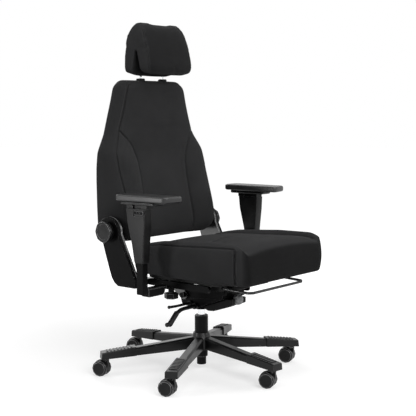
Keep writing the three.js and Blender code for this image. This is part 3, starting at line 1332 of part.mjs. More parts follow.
// Headrest: a pad folded over in side view, open below, that hangs on the posts' yoke
const HEAD_OUTLINE_SHARES = [
  [0.06, 0, 0.6], [0.01, 0.14, 0.6], [0.1, 0.5, 1], [0.3, 0.86, 0.8], [0.5, 1, 0.6], [0.76, 0.99, 0.8],
  [0.95, 0.75, 1], [1, 0.35, 1], [1, 0, 0.6], [0.66, 0, 0.6], [0.54, 0.59, 0.5], [0.34, 0, 0.6],
]; // of depth, height and corner rounding, from the front foot upwards
const HEAD_STATION_SHARES = [
  [-1, 0.88], [-0.93, 0.98], [-0.6, 1], [0, 1], [0.6, 1], [0.93, 0.98], [1, 0.88],
]; // of half width, with the size of the section there
const HEAD_NARROW_SHARE = 0.8;
const HEAD_SHOULDER_SHARE = 0.55;

function headrestCushion() {
  const depth = HEAD_REAR - HEAD_FRONT;
  const height = HEAD_TOP - HEAD_BOTTOM;
  const shape = outline(HEAD_OUTLINE_SHARES.map(([y, z, turn]) => [
    HEAD_FRONT + y * depth, HEAD_BOTTOM + z * height, turn * HEAD_ROUND,
  ]));
  const steps = HEAD_STATION_SHARES.length - 1;
  const form = new THREE.ExtrudeGeometry(shape, {
    depth: steps, steps, bevelEnabled: false, curveSegments: CORNER_STEPS,
  });
  const { position } = form.attributes;
  for (let i = 0; i < position.count; i += 1) {
    const [across, size] = HEAD_STATION_SHARES[Math.round(position.getZ(i))];
    const y = mix((HEAD_FRONT + HEAD_REAR) / 2, position.getX(i), size);
    const z = mix((HEAD_BOTTOM + HEAD_TOP) / 2, position.getY(i), size);
    const up = (z - HEAD_BOTTOM) / height;
    const narrow = 1 - HEAD_NARROW_SHARE * Math.max(up - HEAD_SHOULDER_SHARE, 0) ** 2;
    const forward = y < POST_Y - HEAD_ROUND ? HEAD_CROWN * (across ** 2 - 0.5) : 0;
    const sink = HEAD_CROWN * across ** 4 * (2 * up - 1);
    position.setXYZ(i, across * HEAD_HALF_WIDTH * narrow, y + forward, z - sink);
  }
  return cut(form, yokeRoom());
}

// The slot for the posts: round at the yoke and widening downwards by the tilt range
function yokeRoom() {
  const radius = POST_RADIUS + GAP;
  const half = THREE.MathUtils.degToRad(HEAD_TILT_ROOM);
  const drop = YOKE_Z - HEAD_BOTTOM + OVERRUN + HEAD_CROWN;
  const shape = new THREE.Shape();
  shape.absarc(0, 0, radius, 0, Math.PI, false);
  shape.lineTo(-radius - drop * Math.tan(half), -drop);
  shape.lineTo(radius + drop * Math.tan(half), -drop);
  const reach = POST_HALF_SPACING + POST_RADIUS + GAP;
  return sideSlab(shape, -reach, reach).translate(0, POST_Y, YOKE_Z);
}

function headrestRod() {
  return bentBar([
    [-POST_HALF_SPACING, POST_Y, POST_BOTTOM],
    [-POST_HALF_SPACING, POST_Y, YOKE_Z],
    [POST_HALF_SPACING, POST_Y, YOKE_Z],
    [POST_HALF_SPACING, POST_Y, POST_BOTTOM],
  ], POST_RADIUS, YOKE_BEND, YOKE_STEPS);
}

function buildBack() {
  add('carrier_frame', carrierFrame(), STEEL_PAINT);
  const cover = plateCover();
  const wheel = handWheel();
  const pivot = backPivot();
  const sleeve = postSleeve();
  for (const side of SIDES) {
    add(`side_cover_${side.name}`, forSide(cover, side), NYLON);
    add(`hand_wheel_${side.name}`, forSide(wheel, side), NYLON);
    add(`back_pivot_${side.name}`, forSide(pivot, side), STEEL_PAINT);
    const post = add(`post_sleeve_${side.name}`, sleeve, NYLON);
    post.position.set(side.sign * POST_HALF_SPACING, POST_Y, 0);
  }
  add('back_shell', backShell(), NYLON);
  add('back_cushion', backCushion(), FABRIC);
  add('headrest_rod', headrestRod(), CHROME);
  add('headrest_cushion', headrestCushion(), FABRIC);
}

// Armrests, modelled on the +X side
function armBracket() {
  const end = ARM_POST_OUTER - ARM_POST_WIDTH - GAP;
  const top = BRACKET_BOTTOM + BRACKET_HEIGHT;
  return rearSlab(outline([
    [top, BRACKET_INNER],
    [top, end],
    [BRACKET_FOOT_BOTTOM, end, BRACKET_ROUND],
    [BRACKET_FOOT_BOTTOM, BRACKET_FOOT_INNER + BRACKET_ROUND, BRACKET_ROUND],
    [BRACKET_BOTTOM, BRACKET_FOOT_INNER],
    [BRACKET_BOTTOM, BRACKET_INNER],
  ]), -BRACKET_HALF_DEPTH, BRACKET_HALF_DEPTH, BRACKET_ROUND / 4);
}

function armPost() {
  const inner = ARM_POST_OUTER - ARM_POST_WIDTH;
  return prism(
    rectangle(inner, ARM_POST_OUTER, ARM_POST_FRONT, ARM_POST_REAR, SLEEVE_CORNER / 2),
    ARM_POST_BOTTOM, ARM_POST_TOP, SLEEVE_CORNER / 3,
  );
}

// Tapered sleeve with a slot for the post and a recess for the button
const SLEEVE_LEVEL_SHARES = [[0, 0], [0.03, 0], [0.35, 0.3], [0.75, 0.85], [1, 1]];

function sleeveRing(z, share, inset) {
  const edge = (low, high) => mix(low, high, share);
  const x0 = edge(SLEEVE_FOOT_INNER, SLEEVE_INNER) + inset;
  const x1 = edge(SLEEVE_FOOT_OUTER, SLEEVE_OUTER) - inset;
  const y0 = edge(SLEEVE_FOOT_FRONT, SLEEVE_FRONT) + inset;
  const y1 = edge(SLEEVE_FOOT_REAR, SLEEVE_REAR) - inset;
  const corners = rectangle(x0, x1, y0, y1, SLEEVE_CORNER - inset).getPoints(SLEEVE_CORNER_STEPS);
  return corners.slice(0, -1).map((p) => [p.x, p.y, z]);
}

function armSleeve() {
  const rings = SLEEVE_LEVEL_SHARES.map(([level, share], i) => (
    sleeveRing(mix(SLEEVE_FOOT, SLEEVE_TOP, level), share, i === 0 ? SLEEVE_CORNER / 4 : 0)
  ));
  const inner = ARM_POST_OUTER - ARM_POST_WIDTH;
  const slot = block(
    inner - GAP, ARM_POST_OUTER + GAP, ARM_POST_FRONT - GAP, ARM_POST_REAR + GAP,
    SLEEVE_FOOT - OVERRUN, ARM_POST_TOP + GAP,
  );
  const buttonTop = BUTTON_BOTTOM + BUTTON_HEIGHT;
  const pocket = sideSlab(
    rectangle(BUTTON_FRONT - GAP, BUTTON_REAR + GAP, BUTTON_BOTTOM - GAP, buttonTop + GAP, SLEEVE_CORNER),
    SLEEVE_OUTER - BUTTON_POCKET, SLEEVE_OUTER + OVERRUN,
  );
  const scoop = sideSlab(
    rectangle(
      BUTTON_FRONT - SCOOP_MARGIN, BUTTON_REAR + SCOOP_MARGIN,
      BUTTON_BOTTOM - 2 * SCOOP_MARGIN, buttonTop + SCOOP_MARGIN, SLEEVE_CORNER,
    ),
    SLEEVE_OUTER - SCOOP_DEPTH, SLEEVE_OUTER + OVERRUN,
  );
  const spigot = disc(CARRIER_SPIGOT_RADIUS + GAP, SLEEVE_TOP - CARRIER_SPIGOT, SLEEVE_TOP + OVERRUN);
  spigot.translate((SLEEVE_INNER + SLEEVE_OUTER) / 2, 0, 0);
  return cut(loft(rings), slot, pocket, scoop, spigot);
}

function armButton() {
  const face = SLEEVE_OUTER + BUTTON_PROUD;
  const lever = sideSlab(
    rectangle(BUTTON_FRONT, BUTTON_REAR, BUTTON_BOTTOM, BUTTON_BOTTOM + BUTTON_HEIGHT, SLEEVE_CORNER),
    SLEEVE_OUTER - BUTTON_POCKET + BUTTON_TRAVEL + GAP, face, BUTTON_PROUD / 2,
  );
  const dot = disc(BUTTON_DOT_RADIUS, face - BUTTON_DOT_DEPTH, face + OVERRUN, SMALL_STEPS);
  const dots = BUTTON_DOT_SHARES.map((share) => (
    alongX(dot.clone(), mix(BUTTON_FRONT, BUTTON_REAR, share), BUTTON_BOTTOM + BUTTON_HEIGHT / 2)
  ));
  return cut(lever, ...dots);
}

// The rib that the pad slides on, or with margins the groove over it
function ribAt(margin, z0, z1, travel = 0) {
  const x = (CARRIER_INNER + CARRIER_OUTER) / 2;
  const y = (CARRIER_FRONT + CARRIER_REAR) / 2;
  const half = CARRIER_RIB_WIDTH / 2 + margin;
  const reach = CARRIER_RIB_LENGTH / 2 + margin + travel;
  return block(x - half, x + half, y - reach, y + reach, z0, z1);
}

function armCarrier() {
  const plateFoot = CARRIER_TOP - CARRIER_PLATE;
  const plate = prism(
    rectangle(CARRIER_INNER, CARRIER_OUTER, CARRIER_FRONT, CARRIER_REAR, SLEEVE_CORNER),
    plateFoot, CARRIER_TOP, CARRIER_PLATE / 4,
  );
  const foot = SLEEVE_TOP + GAP;
  const core = plateFoot + CARRIER_PLATE / 2;
  const feet = [SLEEVE_FRONT, SLEEVE_REAR - CARRIER_FOOT_LENGTH].map((y) => block(
    SLEEVE_INNER, SLEEVE_OUTER - SLEEVE_CORNER, y, y + CARRIER_FOOT_LENGTH, foot, core,
  ));
  const spigot = disc(CARRIER_SPIGOT_RADIUS, SLEEVE_TOP - CARRIER_SPIGOT + GAP, core);
  spigot.translate((SLEEVE_INNER + SLEEVE_OUTER) / 2, 0, 0);
  const web = block(
    SLEEVE_INNER + SLEEVE_CORNER, SLEEVE_OUTER - 2 * SLEEVE_CORNER,
    SLEEVE_FRONT + CARRIER_FOOT_LENGTH / 2, SLEEVE_REAR - CARRIER_FOOT_LENGTH / 2,
    foot, core,
  );
  const rib = ribAt(0, CARRIER_TOP - CARRIER_PLATE / 2, CARRIER_TOP + CARRIER_RIB_HEIGHT);
  return joined(plate, spigot, web, rib, ...feet);
}

function armPad() {
  const foot = CARRIER_TOP + GAP;
  const pad = prism(outline([
    [PAD_INNER, PAD_FRONT, PAD_ROUND],
    [PAD_OUTER, PAD_FRONT + PAD_SLANT, PAD_ROUND],
    [PAD_OUTER, PAD_REAR, PAD_ROUND],
    [PAD_INNER, PAD_REAR, PAD_ROUND],
  ]), foot, PAD_TOP, PAD_BEVEL);
  return cut(pad, ribAt(GAP, foot - OVERRUN, foot + CARRIER_RIB_HEIGHT, PAD_TRAVEL));
}

function armClamp() {
  const top = CLAMP_BOTTOM + CLAMP_HEIGHT;
  const grip = fluted(CLAMP_RADIUS, CLAMP_LOBES, CLAMP_FLUTE, CLAMP_BOTTOM, top, CLAMP_FLUTE / 2);
  const neck = disc(CLAMP_NECK_RADIUS, top - OVERRUN, CHANNEL_FOOT - GAP);
  const stud = disc(CLAMP_STUD_RADIUS, top, BRACKET_BOTTOM - GAP);
  return joined(grip, neck, stud).translate(CLAMP_X, 0, 0);
}

function buildArmrests() {
  const pieces = {
    arm_bracket: [armBracket(), STEEL_PAINT],
    arm_post: [armPost(), STEEL_PAINT],
    arm_sleeve: [armSleeve(), NYLON],
    arm_button: [armButton(), NYLON],
    arm_carrier: [armCarrier(), NYLON],
    arm_pad: [armPad(), PAD_SKIN],
    arm_clamp: [armClamp(), NYLON],
  };
  for (const side of SIDES) {
    for (const [name, [geometry, look]] of Object.entries(pieces)) {
      add(`${name}_${side.name}`, forSide(geometry, side), look);
    }
  }
}

buildBase();
buildColumn();
buildMechanism();
buildSeat();
buildBack();
buildArmrests();

export default chair;
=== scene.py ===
import json
import math

import bmesh
import bpy
import numpy as np
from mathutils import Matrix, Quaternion, Vector
from mathutils.bvhtree import BVHTree
from mathutils.kdtree import KDTree


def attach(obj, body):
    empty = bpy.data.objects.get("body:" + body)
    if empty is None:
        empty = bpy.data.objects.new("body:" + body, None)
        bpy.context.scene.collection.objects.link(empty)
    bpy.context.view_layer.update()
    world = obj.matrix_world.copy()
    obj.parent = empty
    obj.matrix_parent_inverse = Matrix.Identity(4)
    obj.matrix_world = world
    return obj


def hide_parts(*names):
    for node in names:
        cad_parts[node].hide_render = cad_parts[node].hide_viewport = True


# Camera: the photograph's viewpoint round the chair
VIEW_TARGET = (0.0168, -0.0200, 0.6062)
VIEW_AZIMUTH = -50.0
VIEW_ELEVATION = 5.664
VIEW_ROLL = -0.2
VIEW_DISTANCE = 3.4807
VIEW_LENS = 81.65

# Studio
FLOOR_SIZE = 40.0
FLOOR_GREY = 0.50
FLOOR_GLOW = (0.60, 0.95)  # added for the camera alone, by the chair and far from it
FLOOR_GLOW_RADII = (0.7, 2.2)
WORLD_FILL = 0.14
SOFTBOXES = (  # place, aim, width, height, watts, name
    ((-0.3, -0.9, 3.3), (0.0, 0.0, 0.5), 2.6, 2.2, 46.0, "overhead"),
    ((-1.3, -3.0, 2.2), (0.0, 0.0, 1.0), 1.6, 1.4, 76.0, "key"),
    ((-2.7, 1.5, 0.8), (0.0, 0.0, 0.6), 0.6, 1.2, 32.0, "left"),
    ((1.9, -2.6, 1.8), (0.0, 0.0, 0.9), 1.2, 1.4, 24.0, "front"),
    ((1.6, 2.8, 2.2), (0.0, 0.0, 0.7), 1.6, 1.4, 34.0, "rear"),
)

# Seat cushion, from the pan up
SEAT_BOTTOM = 0.3841
SEAT_FRONT = -0.390
SEAT_REAR = 0.1175
SEAT_HALF_WIDTH = 0.2475
SEAT_REAR_WIDTH_SHARE = 0.95
SEAT_CORNER = 0.047  # plan radius of the front corners
SEAT_SEAM_X = 0.180  # inner seam of each side bolster
SEAT_SEAM_PARTING = 0.030  # how far it moves outwards by the front corners
SEAT_PARTING_LENGTH = 0.18
SEAT_SEAM_HEIGHTS = (  # along the seat, from front to rear
    (-1, 0.504), (-0.8, 0.508), (-0.27, 0.502), (0.3, 0.496), (0.5, 0.494), (1, 0.482),
)
SEAT_CREST_HEIGHTS = ((-1, 0.010), (-0.8, 0.014), (-0.27, 0.019), (0.5, 0.013), (1, 0.004))
SEAT_CREST_POWER = 0.8
SEAT_EDGE_RISE = 0.002
SEAT_PUFF = 0.006
SEAT_THIGH_PUFF = 0.014
SEAT_THIGH_LENGTH = 0.14
SEAT_CROSS_Y = -0.130  # the cross seam's middle
SEAT_CROSS_BOW = 0.060
SEAT_NOSE = 0.040
SEAT_NOSE_START = -0.325
SEAT_NOSE_ROUND = 0.9
SEAT_REAR_EDGE = 0.010
SEAT_REAR_EDGE_POWER = 8
SEAT_DRAW = 0.006
SEAT_DEPTH = 0.12  # for the number of cells only
SEAT_SEAM_WIDTH = 0.0040
SEAT_SEAM_DEPTH = 0.0090
SEAT_SEAM_POINTS = 40
SEAT_SIDE_SEAM_DROP = 0.003  # the side seam runs this far below the top
SEAT_SIDE_SEAM_END = -0.81  # share of the length where the front corner starts
SEAT_CAP = 0.006  # furthest that air pressure moves the cover

# Back cushion
BACK_BOTTOM = 0.4875
BACK_TOP = 1.0775
BACK_HALF_WIDTH = 0.2565
BACK_REAR = 0.2958
BACK_FRONT_LOW = 0.1425
BACK_FRONT_HIGH = 0.2070
BACK_WING = 0.043
BACK_DRAW = 0.007
BACK_DEPTH = 0.12  # for the number of cells only
BACK_EDGE_SHARE = 0.16
BACK_SIDE_POWER = 14
BACK_END_POWER = 12
BACK_WING_POWER = 0.8
BACK_SEAM = 0.5
BACK_SEAM_POINTS = 120
BACK_CAP = 0.005
BACK_WIDTHS = (  # this and the other tables of the back go by height, from 0 to 1
    (0, 0.88), (0.02, 0.945), (0.09, 0.985), (0.2, 0.995), (0.37, 1), (0.46, 0.995), (0.55, 0.97),
    (0.66, 0.84), (0.77, 0.765), (0.87, 0.695), (0.92, 0.665), (0.965, 0.64), (0.99, 0.59),
    (1, 0.53),
)
BACK_PANELS = (
    (0, 0.57), (0.1, 0.55), (0.33, 0.505), (0.42, 0.51), (0.52, 0.54), (0.6, 0.68), (0.66, 0.82),
    (0.75, 0.86), (1, 0.86),
)
BACK_FRONTS = (
    (0, 0), (0.33, 0.46), (0.52, 0.8), (0.66, 0.95), (0.74, 1), (0.85, 1), (0.92, 0.97), (1, 0.85),
)
BACK_WINGS = (
    (0, 0.6), (0.06, 0.96), (0.16, 1), (0.25, 0.82), (0.34, 0.62), (0.42, 0.5), (0.5, 0.5),
    (0.59, 0.34), (0.66, 0), (1, 0),
)
BACK_INNER_SEAM = ((0, 0.5), (0.61, 0.5), (0.635, 0.56), (0.66, 0.74), (0.68, 1), (1, 1))
BACK_SIDE_SEAM = (
    (0, 0.95), (0.3, 0.955), (0.4, 0.965), (0.5, 0.985), (0.59, 1), (0.69, 1), (0.75, 0.96),
    (0.81, 0.935), (0.88, 0.95), (1, 0.96),
)
BACK_SEAM_RUNS = (  # lower and upper end, and the place across by height
    (0.008, 0.685, BACK_INNER_SEAM), (0.008, 0.985, BACK_SIDE_SEAM),
)

# Headrest, in side view from the front foot over the top
HEAD_HALF_WIDTH = 0.126
HEAD_BOTTOM = 1.094
HEAD_TOP = 1.288
HEAD_FRONT = 0.138
HEAD_REAR = 0.264
HEAD_OUTLINE = (
    (0.06, 0.02), (0.01, 0.14), (0.1, 0.5), (0.3, 0.86), (0.5, 1), (0.76, 0.99), (0.95, 0.75),
    (1, 0.35), (1, 0.02),
)
HEAD_SEAM_SHARE = 0.93  # of the half width
HEAD_SEAM_POINTS = 90
HEAD_SEAM_DEPTH = 0.002
HEAD_NARROW_SHARE = 0.8
HEAD_SHOULDER_SHARE = 0.55
HEAD_LIFT = 0.020  # raises the ends of the top, which the solid rounds off
HEAD_LIFT_POWER = 2.5
HEAD_SLOPE = 0.012  # lowers the rear of the top
HEAD_SWELL = 0.007  # fullness at the rear
HEAD_CAP = 0.003
HEAD_VOXEL = 0.004
HEAD_FLAT_ANGLE = 0.01

# Covers
CELL = 0.0075  # grid of a cushion's shell
JOINED = 1e-5  # points closer than this are one
ROUNDING = 0.025  # along a table of shares
CLOTH = {
    "quality": 4, "mass": 0.25, "tension_stiffness": 25, "compression_stiffness": 25,
    "shear_stiffness": 10, "bending_stiffness": 2, "use_pressure": True,
    "uniform_pressure_force": 4.0,
}
CLOTH_FRAMES = 20
SEAM_WIDTH = 0.0030
SEAM_DEPTH = 0.0080
SEAM_REACH = 0.012  # the mesh is finer this close to a seam
SEAM_PITCH = 0.002
SEAM_SPREAD = 4.5  # the wide part of a groove, in widths of its narrow part
SEAM_NARROW_SHARE = 0.7  # of the depth
STITCH_PITCH = 0.006
STITCH_LENGTH = 0.0042
STITCH_RADIUS = 0.00055
STITCH_SIDES = 6
STITCH_RINGS = ((-0.5, 0.35), (-0.3, 1.0), (0.3, 1.0), (0.5, 0.35))  # share of length, of radius
STITCH_ARCH = (0.6, 0.8)  # height in the middle and its fall to the ends, in radii
SEAT_STITCH_OFFSETS = (-0.0045, 0.0045)
BACK_STITCH_OFFSETS = (0.0045,)
HEAD_STITCH_OFFSETS = (-0.0037, 0.0037)

# Finishes
BLACK_FABRIC = (0.017, 0.017, 0.0175)
LIGHT_FABRIC = (0.036, 0.036, 0.037)
SEAT_FRONT_SHADE = 0.32  # painted shade: the seat's front panel is darker, standing in for the shade on its forward face
# painted shade: the headrest's front keeps this share of its tone, standing in for the shade on it
HEAD_FRONT_SHADE = 0.55
FRONT_SHADE_FACING = (-0.95, -0.6)  # the painted front shade fades between these Y parts of the normal
WEAVE_PITCH = 0.0017
THREAD_TONE, THREAD_DEPTH, THREAD_BUMP = 0.35, 0.0005, 0.5
FIBRE_SCALE, FIBRE_TONE, FIBRE_DEPTH, FIBRE_BUMP = 900.0, 0.6, 0.0004, 0.35
CLOUD_SCALE, CLOUD_TONE, CLOUD_RANGE = 7.0, 0.25, (0.35, 0.65)
CREASE_SCALE, CREASE_DEPTH, CREASE_BUMP = 26.0, 0.004, 0.14
FABRIC_ROUGHNESS = (0.86, 0.98)
FABRIC_GLOSS = {"Sheen Weight": 0.03, "Sheen Roughness": 0.5, "Specular IOR Level": 0.04}
GRAIN_SCALE, GRAIN_DEPTH, GRAIN_BUMP = 1500.0, 0.00012, 0.35  # moulded surfaces from here
PATCH_SCALE, PATCH_TONE, PATCH_RANGE = 18.0, 0.35, (0.35, 0.7)
SCUFF_SCALE, SCUFF_TONE, SCUFF_RANGE = 120.0, 0.4, (0.56, 0.74)
RIPPLE_SCALE, RIPPLE_DEPTH, RIPPLE_BUMP = 60.0, 0.0004, 0.06
GLOSS_SPREAD = (-0.05, 0.07)  # patches change the roughness by this much
STREAK_SCALE, STREAK_DEPTH, STREAK_BUMP = (8.0, 8.0, 900.0), 0.00003, 0.2  # chrome from here
HAZE_SCALE, HAZE_RANGE, HAZE_TONE = 45.0, (0.4, 0.7), 0.93
CHROME_ROUGHNESS = (0.10, 0.22)
THREAD = (0.026, 0.026, 0.027)
NYLON = (0.0050, 0.0050, 0.0052)
NYLON_WORN = (0.011, 0.011, 0.0114)
SATIN_WORN = (0.022, 0.022, 0.0225)
COATED = (0.0035, 0.0035, 0.0037)
COATED_WORN = (0.008, 0.008, 0.0083)
SKIN = (0.014, 0.014, 0.0145)
SKIN_WORN = (0.028, 0.028, 0.029)
TREAD = (0.007, 0.007, 0.0073)
TREAD_WORN = (0.016, 0.016, 0.0165)
GREY = (0.31, 0.315, 0.32)
GREY_WORN = (0.40, 0.405, 0.41)
CHROMED = (0.80, 0.81, 0.82)
EDGE = (0.085, 0.085, 0.087)  # painted highlight: rounded edges are lighter, standing in for the light they catch, and partly for wear
# the lighter, worn end of the painted edge highlight
EDGE_HIGHLIGHT_WORN = (0.18, 0.18, 0.183)
# painted highlight: the steel plates' edges are light grey for the glint along them, and partly
# for bare steel where the coat is worn off
BARE_EDGE_AND_GLINT = (0.42, 0.425, 0.43)
EDGE_WIDTH = 0.0008
EDGE_ANGLE = 38  # degrees from which an edge is rounded
SHARP_ANGLE = 32  # and from which it is shaded sharp
NODE_LOOKS = (  # start of a node's name, finish, finish of its edges (mostly a painted highlight) and their width
    ("arm_sleeve", "satin_nylon", "edge", 0.0014),
    ("arm_carrier", "satin_nylon", "edge", 0.0010),
    ("hand_wheel", "satin_nylon", "edge", 0.0014),
    ("height_lever", "satin_nylon", "edge", 0.0011),
    ("tilt_lever", "satin_nylon", "edge", 0.0009),
    ("carrier_frame", "plate_steel", "bare_edge_and_glint", 0.0012),
    ("side_cover", "steel_black", "edge", 0.0016),
    ("arm_button", "steel_black", "edge", 0.0006),
    ("arm_post", "steel_black", "edge", 0.0012),
    ("base_star", "base_nylon", "edge", 0.0026),
    ("step_cap", "base_nylon", "edge", 0.0016),
    ("caster", "wheel_black", "edge", 0.0010),
    ("arm_pad", "pad_skin", "pad_skin", 0.0024),
    ("tension_knob", "grey_plastic", "grey_plastic", 0.0012),
    ("piston_rod", "chrome", "chrome", 0.0006),
    ("gas_cylinder", "chrome", "chrome", 0.0006),
    ("headrest_rod", "chrome", "chrome", 0.0006),
)


# Camera and studio
def view_direction():
    turn, rise = math.radians(VIEW_AZIMUTH), math.radians(VIEW_ELEVATION)
    level = math.cos(rise)
    return Vector((math.sin(turn) * level, -math.cos(turn) * level, math.sin(rise)))


def add_camera():
    camera = bpy.data.objects.new("camera", bpy.data.cameras.new("camera"))
    bpy.context.collection.objects.link(camera)
    back = view_direction()
    camera.location = Vector(VIEW_TARGET) + back * VIEW_DISTANCE
    roll = Quaternion((0, 0, 1), math.radians(VIEW_ROLL))
    camera.rotation_mode = "QUATERNION"
    camera.rotation_quaternion = (-back).to_track_quat("-Z", "Y") @ roll
    camera.data.lens = VIEW_LENS
    camera.data.clip_end = 2 * FLOOR_SIZE
    bpy.context.scene.camera = camera


def add_softbox(place, aim, width, height, watts, name):
    lamp = bpy.data.lights.new(name, "AREA")
    lamp.shape = "RECTANGLE"
    lamp.size, lamp.size_y = width, height
    lamp.energy = watts
    holder = bpy.data.objects.new(name, lamp)
    bpy.context.collection.objects.link(holder)
    holder.location = place
    holder.rotation_euler = (Vector(aim) - Vector(place)).to_track_quat("-Z", "Y").to_euler()


def nodes_of(owner):
    owner.use_nodes = True
    tree = owner.node_tree
    tree.nodes.clear()
    return tree


def node(tree, kind, **settings):
    """A node with its properties and, by name or number, its input values or links."""
    made = tree.nodes.new(kind)
    inputs = settings.pop("inputs", {})
    for key, value in settings.items():
        setattr(made, key, value)
    for key, value in inputs.items():
        if isinstance(value, bpy.types.NodeSocket):
            tree.links.new(value, made.inputs[key])
        else:
            made.inputs[key].default_value = value
    return made


def maths(tree, operation, first, second=0.0):
    made = node(tree, "ShaderNodeMath", operation=operation, inputs={0: first, 1: second})
    return made.outputs[0]


def seen_directly(tree):
    """One for what the camera sees, also in a mirror or through glass, and nought for light."""
    path = node(tree, "ShaderNodeLightPath").outputs
    mirrored = maths(tree, "MAXIMUM", path["Is Glossy Ray"], path["Is Transmission Ray"])
    return maths(tree, "MAXIMUM", path["Is Camera Ray"], mirrored)


def add_world():
    world = bpy.data.worlds.new("studio")
    bpy.context.scene.world = world
    tree = nodes_of(world)
    seen = seen_directly(tree)
    fill, white = (
        node(tree, "ShaderNodeBackground", inputs={"Color": (1, 1, 1, 1), "Strength": strength})
        for strength in (WORLD_FILL, 1.0)
    )
    both = node(
        tree, "ShaderNodeMixShader", inputs={0: seen, 1: fill.outputs[0], 2: white.outputs[0]}
    )
    node(tree, "ShaderNodeOutputWorld", inputs={"Surface": both.outputs[0]})


def add_floor():
    bpy.ops.mesh.primitive_plane_add(size=FLOOR_SIZE, location=(0, 0, 0))
    floor = bpy.context.object
    floor.name = "floor"
    finish = bpy.data.materials.new("floor")
    tree = nodes_of(finish)
    grey = (FLOOR_GREY, FLOOR_GREY, FLOOR_GREY, 1)
    matt = node(tree, "ShaderNodeBsdfDiffuse", inputs={"Color": grey})
    place = node(tree, "ShaderNodeTexCoord").outputs["Object"]
    away = node(tree, "ShaderNodeVectorMath", operation="LENGTH", inputs={0: place})
    glow = node(tree, "ShaderNodeMapRange", interpolation_type="SMOOTHSTEP", inputs={
        "Value": away.outputs["Value"],
        "From Min": FLOOR_GLOW_RADII[0], "From Max": FLOOR_GLOW_RADII[1],
        "To Min": FLOOR_GLOW[0], "To Max": FLOOR_GLOW[1],
    }).outputs["Result"]
    strength = maths(tree, "MULTIPLY", seen_directly(tree), glow)
    glow = node(tree, "ShaderNodeEmission", inputs={"Strength": strength})
    both = node(tree, "ShaderNodeAddShader", inputs={0: matt.outputs[0], 1: glow.outputs[0]})
    node(tree, "ShaderNodeOutputMaterial", inputs={"Surface": both.outputs[0]})
    floor.data.materials.append(finish)


# Materials
def noise(tree, place, scale, detail=2.0):
    made = node(
        tree, "ShaderNodeTexNoise", inputs={"Vector": place, "Scale": scale, "Detail": detail}
    )
    return made.outputs["Fac"]


def ramp(tree, value, low, high):
    """Value stretched between low and high onto 0 to 1."""
    made = node(
        tree, "ShaderNodeMapRange", inputs={"Value": value, "From Min": low, "From Max": high}
    )
    return made.outputs["Result"]


def tint(tree, share, first, second):
    made = node(tree, "ShaderNodeMix", data_type="RGBA")
    tree.links.new(share, made.inputs["Factor"])
    made.inputs["A"].default_value = (*first, 1)
    made.inputs["B"].default_value = (*second, 1)
    return made.outputs["Result"]


def spread(tree, share, low, high):
    made = node(tree, "ShaderNodeMapRange", inputs={"Value": share, "To Min": low, "To Max": high})
    return made.outputs["Result"]


def weighed(tree, *pairs):
    """Sum of values, each times its weight."""
    total = None
    for value, weight in pairs:
        part = maths(tree, "MULTIPLY", value, weight)
        total = part if total is None else maths(tree, "ADD", total, part)
    return total


def bump(tree, height, distance, strength, under=None):
    made = node(tree, "ShaderNodeBump", inputs={
        "Height": height, "Distance": distance, "Strength": strength,
    })
    if under:
        tree.links.new(under, made.inputs["Normal"])
    return made.outputs["Normal"]


def vector(tree, operation, inputs):
    made = node(tree, "ShaderNodeVectorMath", operation=operation, inputs=inputs)
    return made.outputs[0]


def parts(tree, value):
    return node(tree, "ShaderNodeSeparateXYZ", inputs={0: value}).outputs


def weave(tree, place, normal):
    """Over-and-under threads in all three planes, each shown where the surface faces it."""
    wave = vector(tree, "SCALE", {0: place, "Scale": 2 * math.pi / WEAVE_PITCH})
    x, y, z = parts(tree, vector(tree, "SINE", {0: wave}))
    facing = parts(tree, vector(tree, "MULTIPLY", {0: normal, 1: normal}))
    planes = (maths(tree, "MULTIPLY", *pair) for pair in ((y, z), (x, z), (x, y)))
    return weighed(tree, *zip(planes, facing))


def principled(tree, colour, roughness, normal, **constants):
    shader = node(tree, "ShaderNodeBsdfPrincipled", inputs={
        "Base Color": colour, "Roughness": roughness, "Normal": normal, **constants,
    })
    node(tree, "ShaderNodeOutputMaterial", inputs={"Surface": shader.outputs[0]})


def fabric(name, dark, light, front=1.0):
    """Woven wool-like cover: threads, fibres, a slow change of tone, and painted shade on the
    faces that look forward.
    """
    made = bpy.data.materials.new(name)
    tree = nodes_of(made)
    coordinate = node(tree, "ShaderNodeTexCoord")
    place = coordinate.outputs["Object"]
    threads = weave(tree, place, coordinate.outputs["Normal"])
    fibres = noise(tree, place, FIBRE_SCALE, 3.0)
    cloudy = ramp(tree, noise(tree, place, CLOUD_SCALE, 3.0), *CLOUD_RANGE)
    tone = weighed(tree, (threads, THREAD_TONE), (fibres, FIBRE_TONE), (cloudy, CLOUD_TONE))
    # painted shade: faces that look forward are darkened, down to the share given as front
    front_shade = node(tree, "ShaderNodeMapRange", inputs={
        "Value": parts(tree, coordinate.outputs["Normal"])["Y"],
        "From Min": FRONT_SHADE_FACING[0], "From Max": FRONT_SHADE_FACING[1], "To Min": front, "To Max": 1.0,
    }).outputs["Result"]
    colour = vector(tree, "SCALE", {0: tint(tree, tone, dark, light), "Scale": front_shade})
    normal = bump(tree, noise(tree, place, CREASE_SCALE, 3.0), CREASE_DEPTH, CREASE_BUMP)
    normal = bump(tree, fibres, FIBRE_DEPTH, FIBRE_BUMP, normal)
    normal = bump(tree, threads, THREAD_DEPTH, THREAD_BUMP, normal)
    principled(tree, colour, spread(tree, fibres, *FABRIC_ROUGHNESS), normal, **FABRIC_GLOSS)
    return made


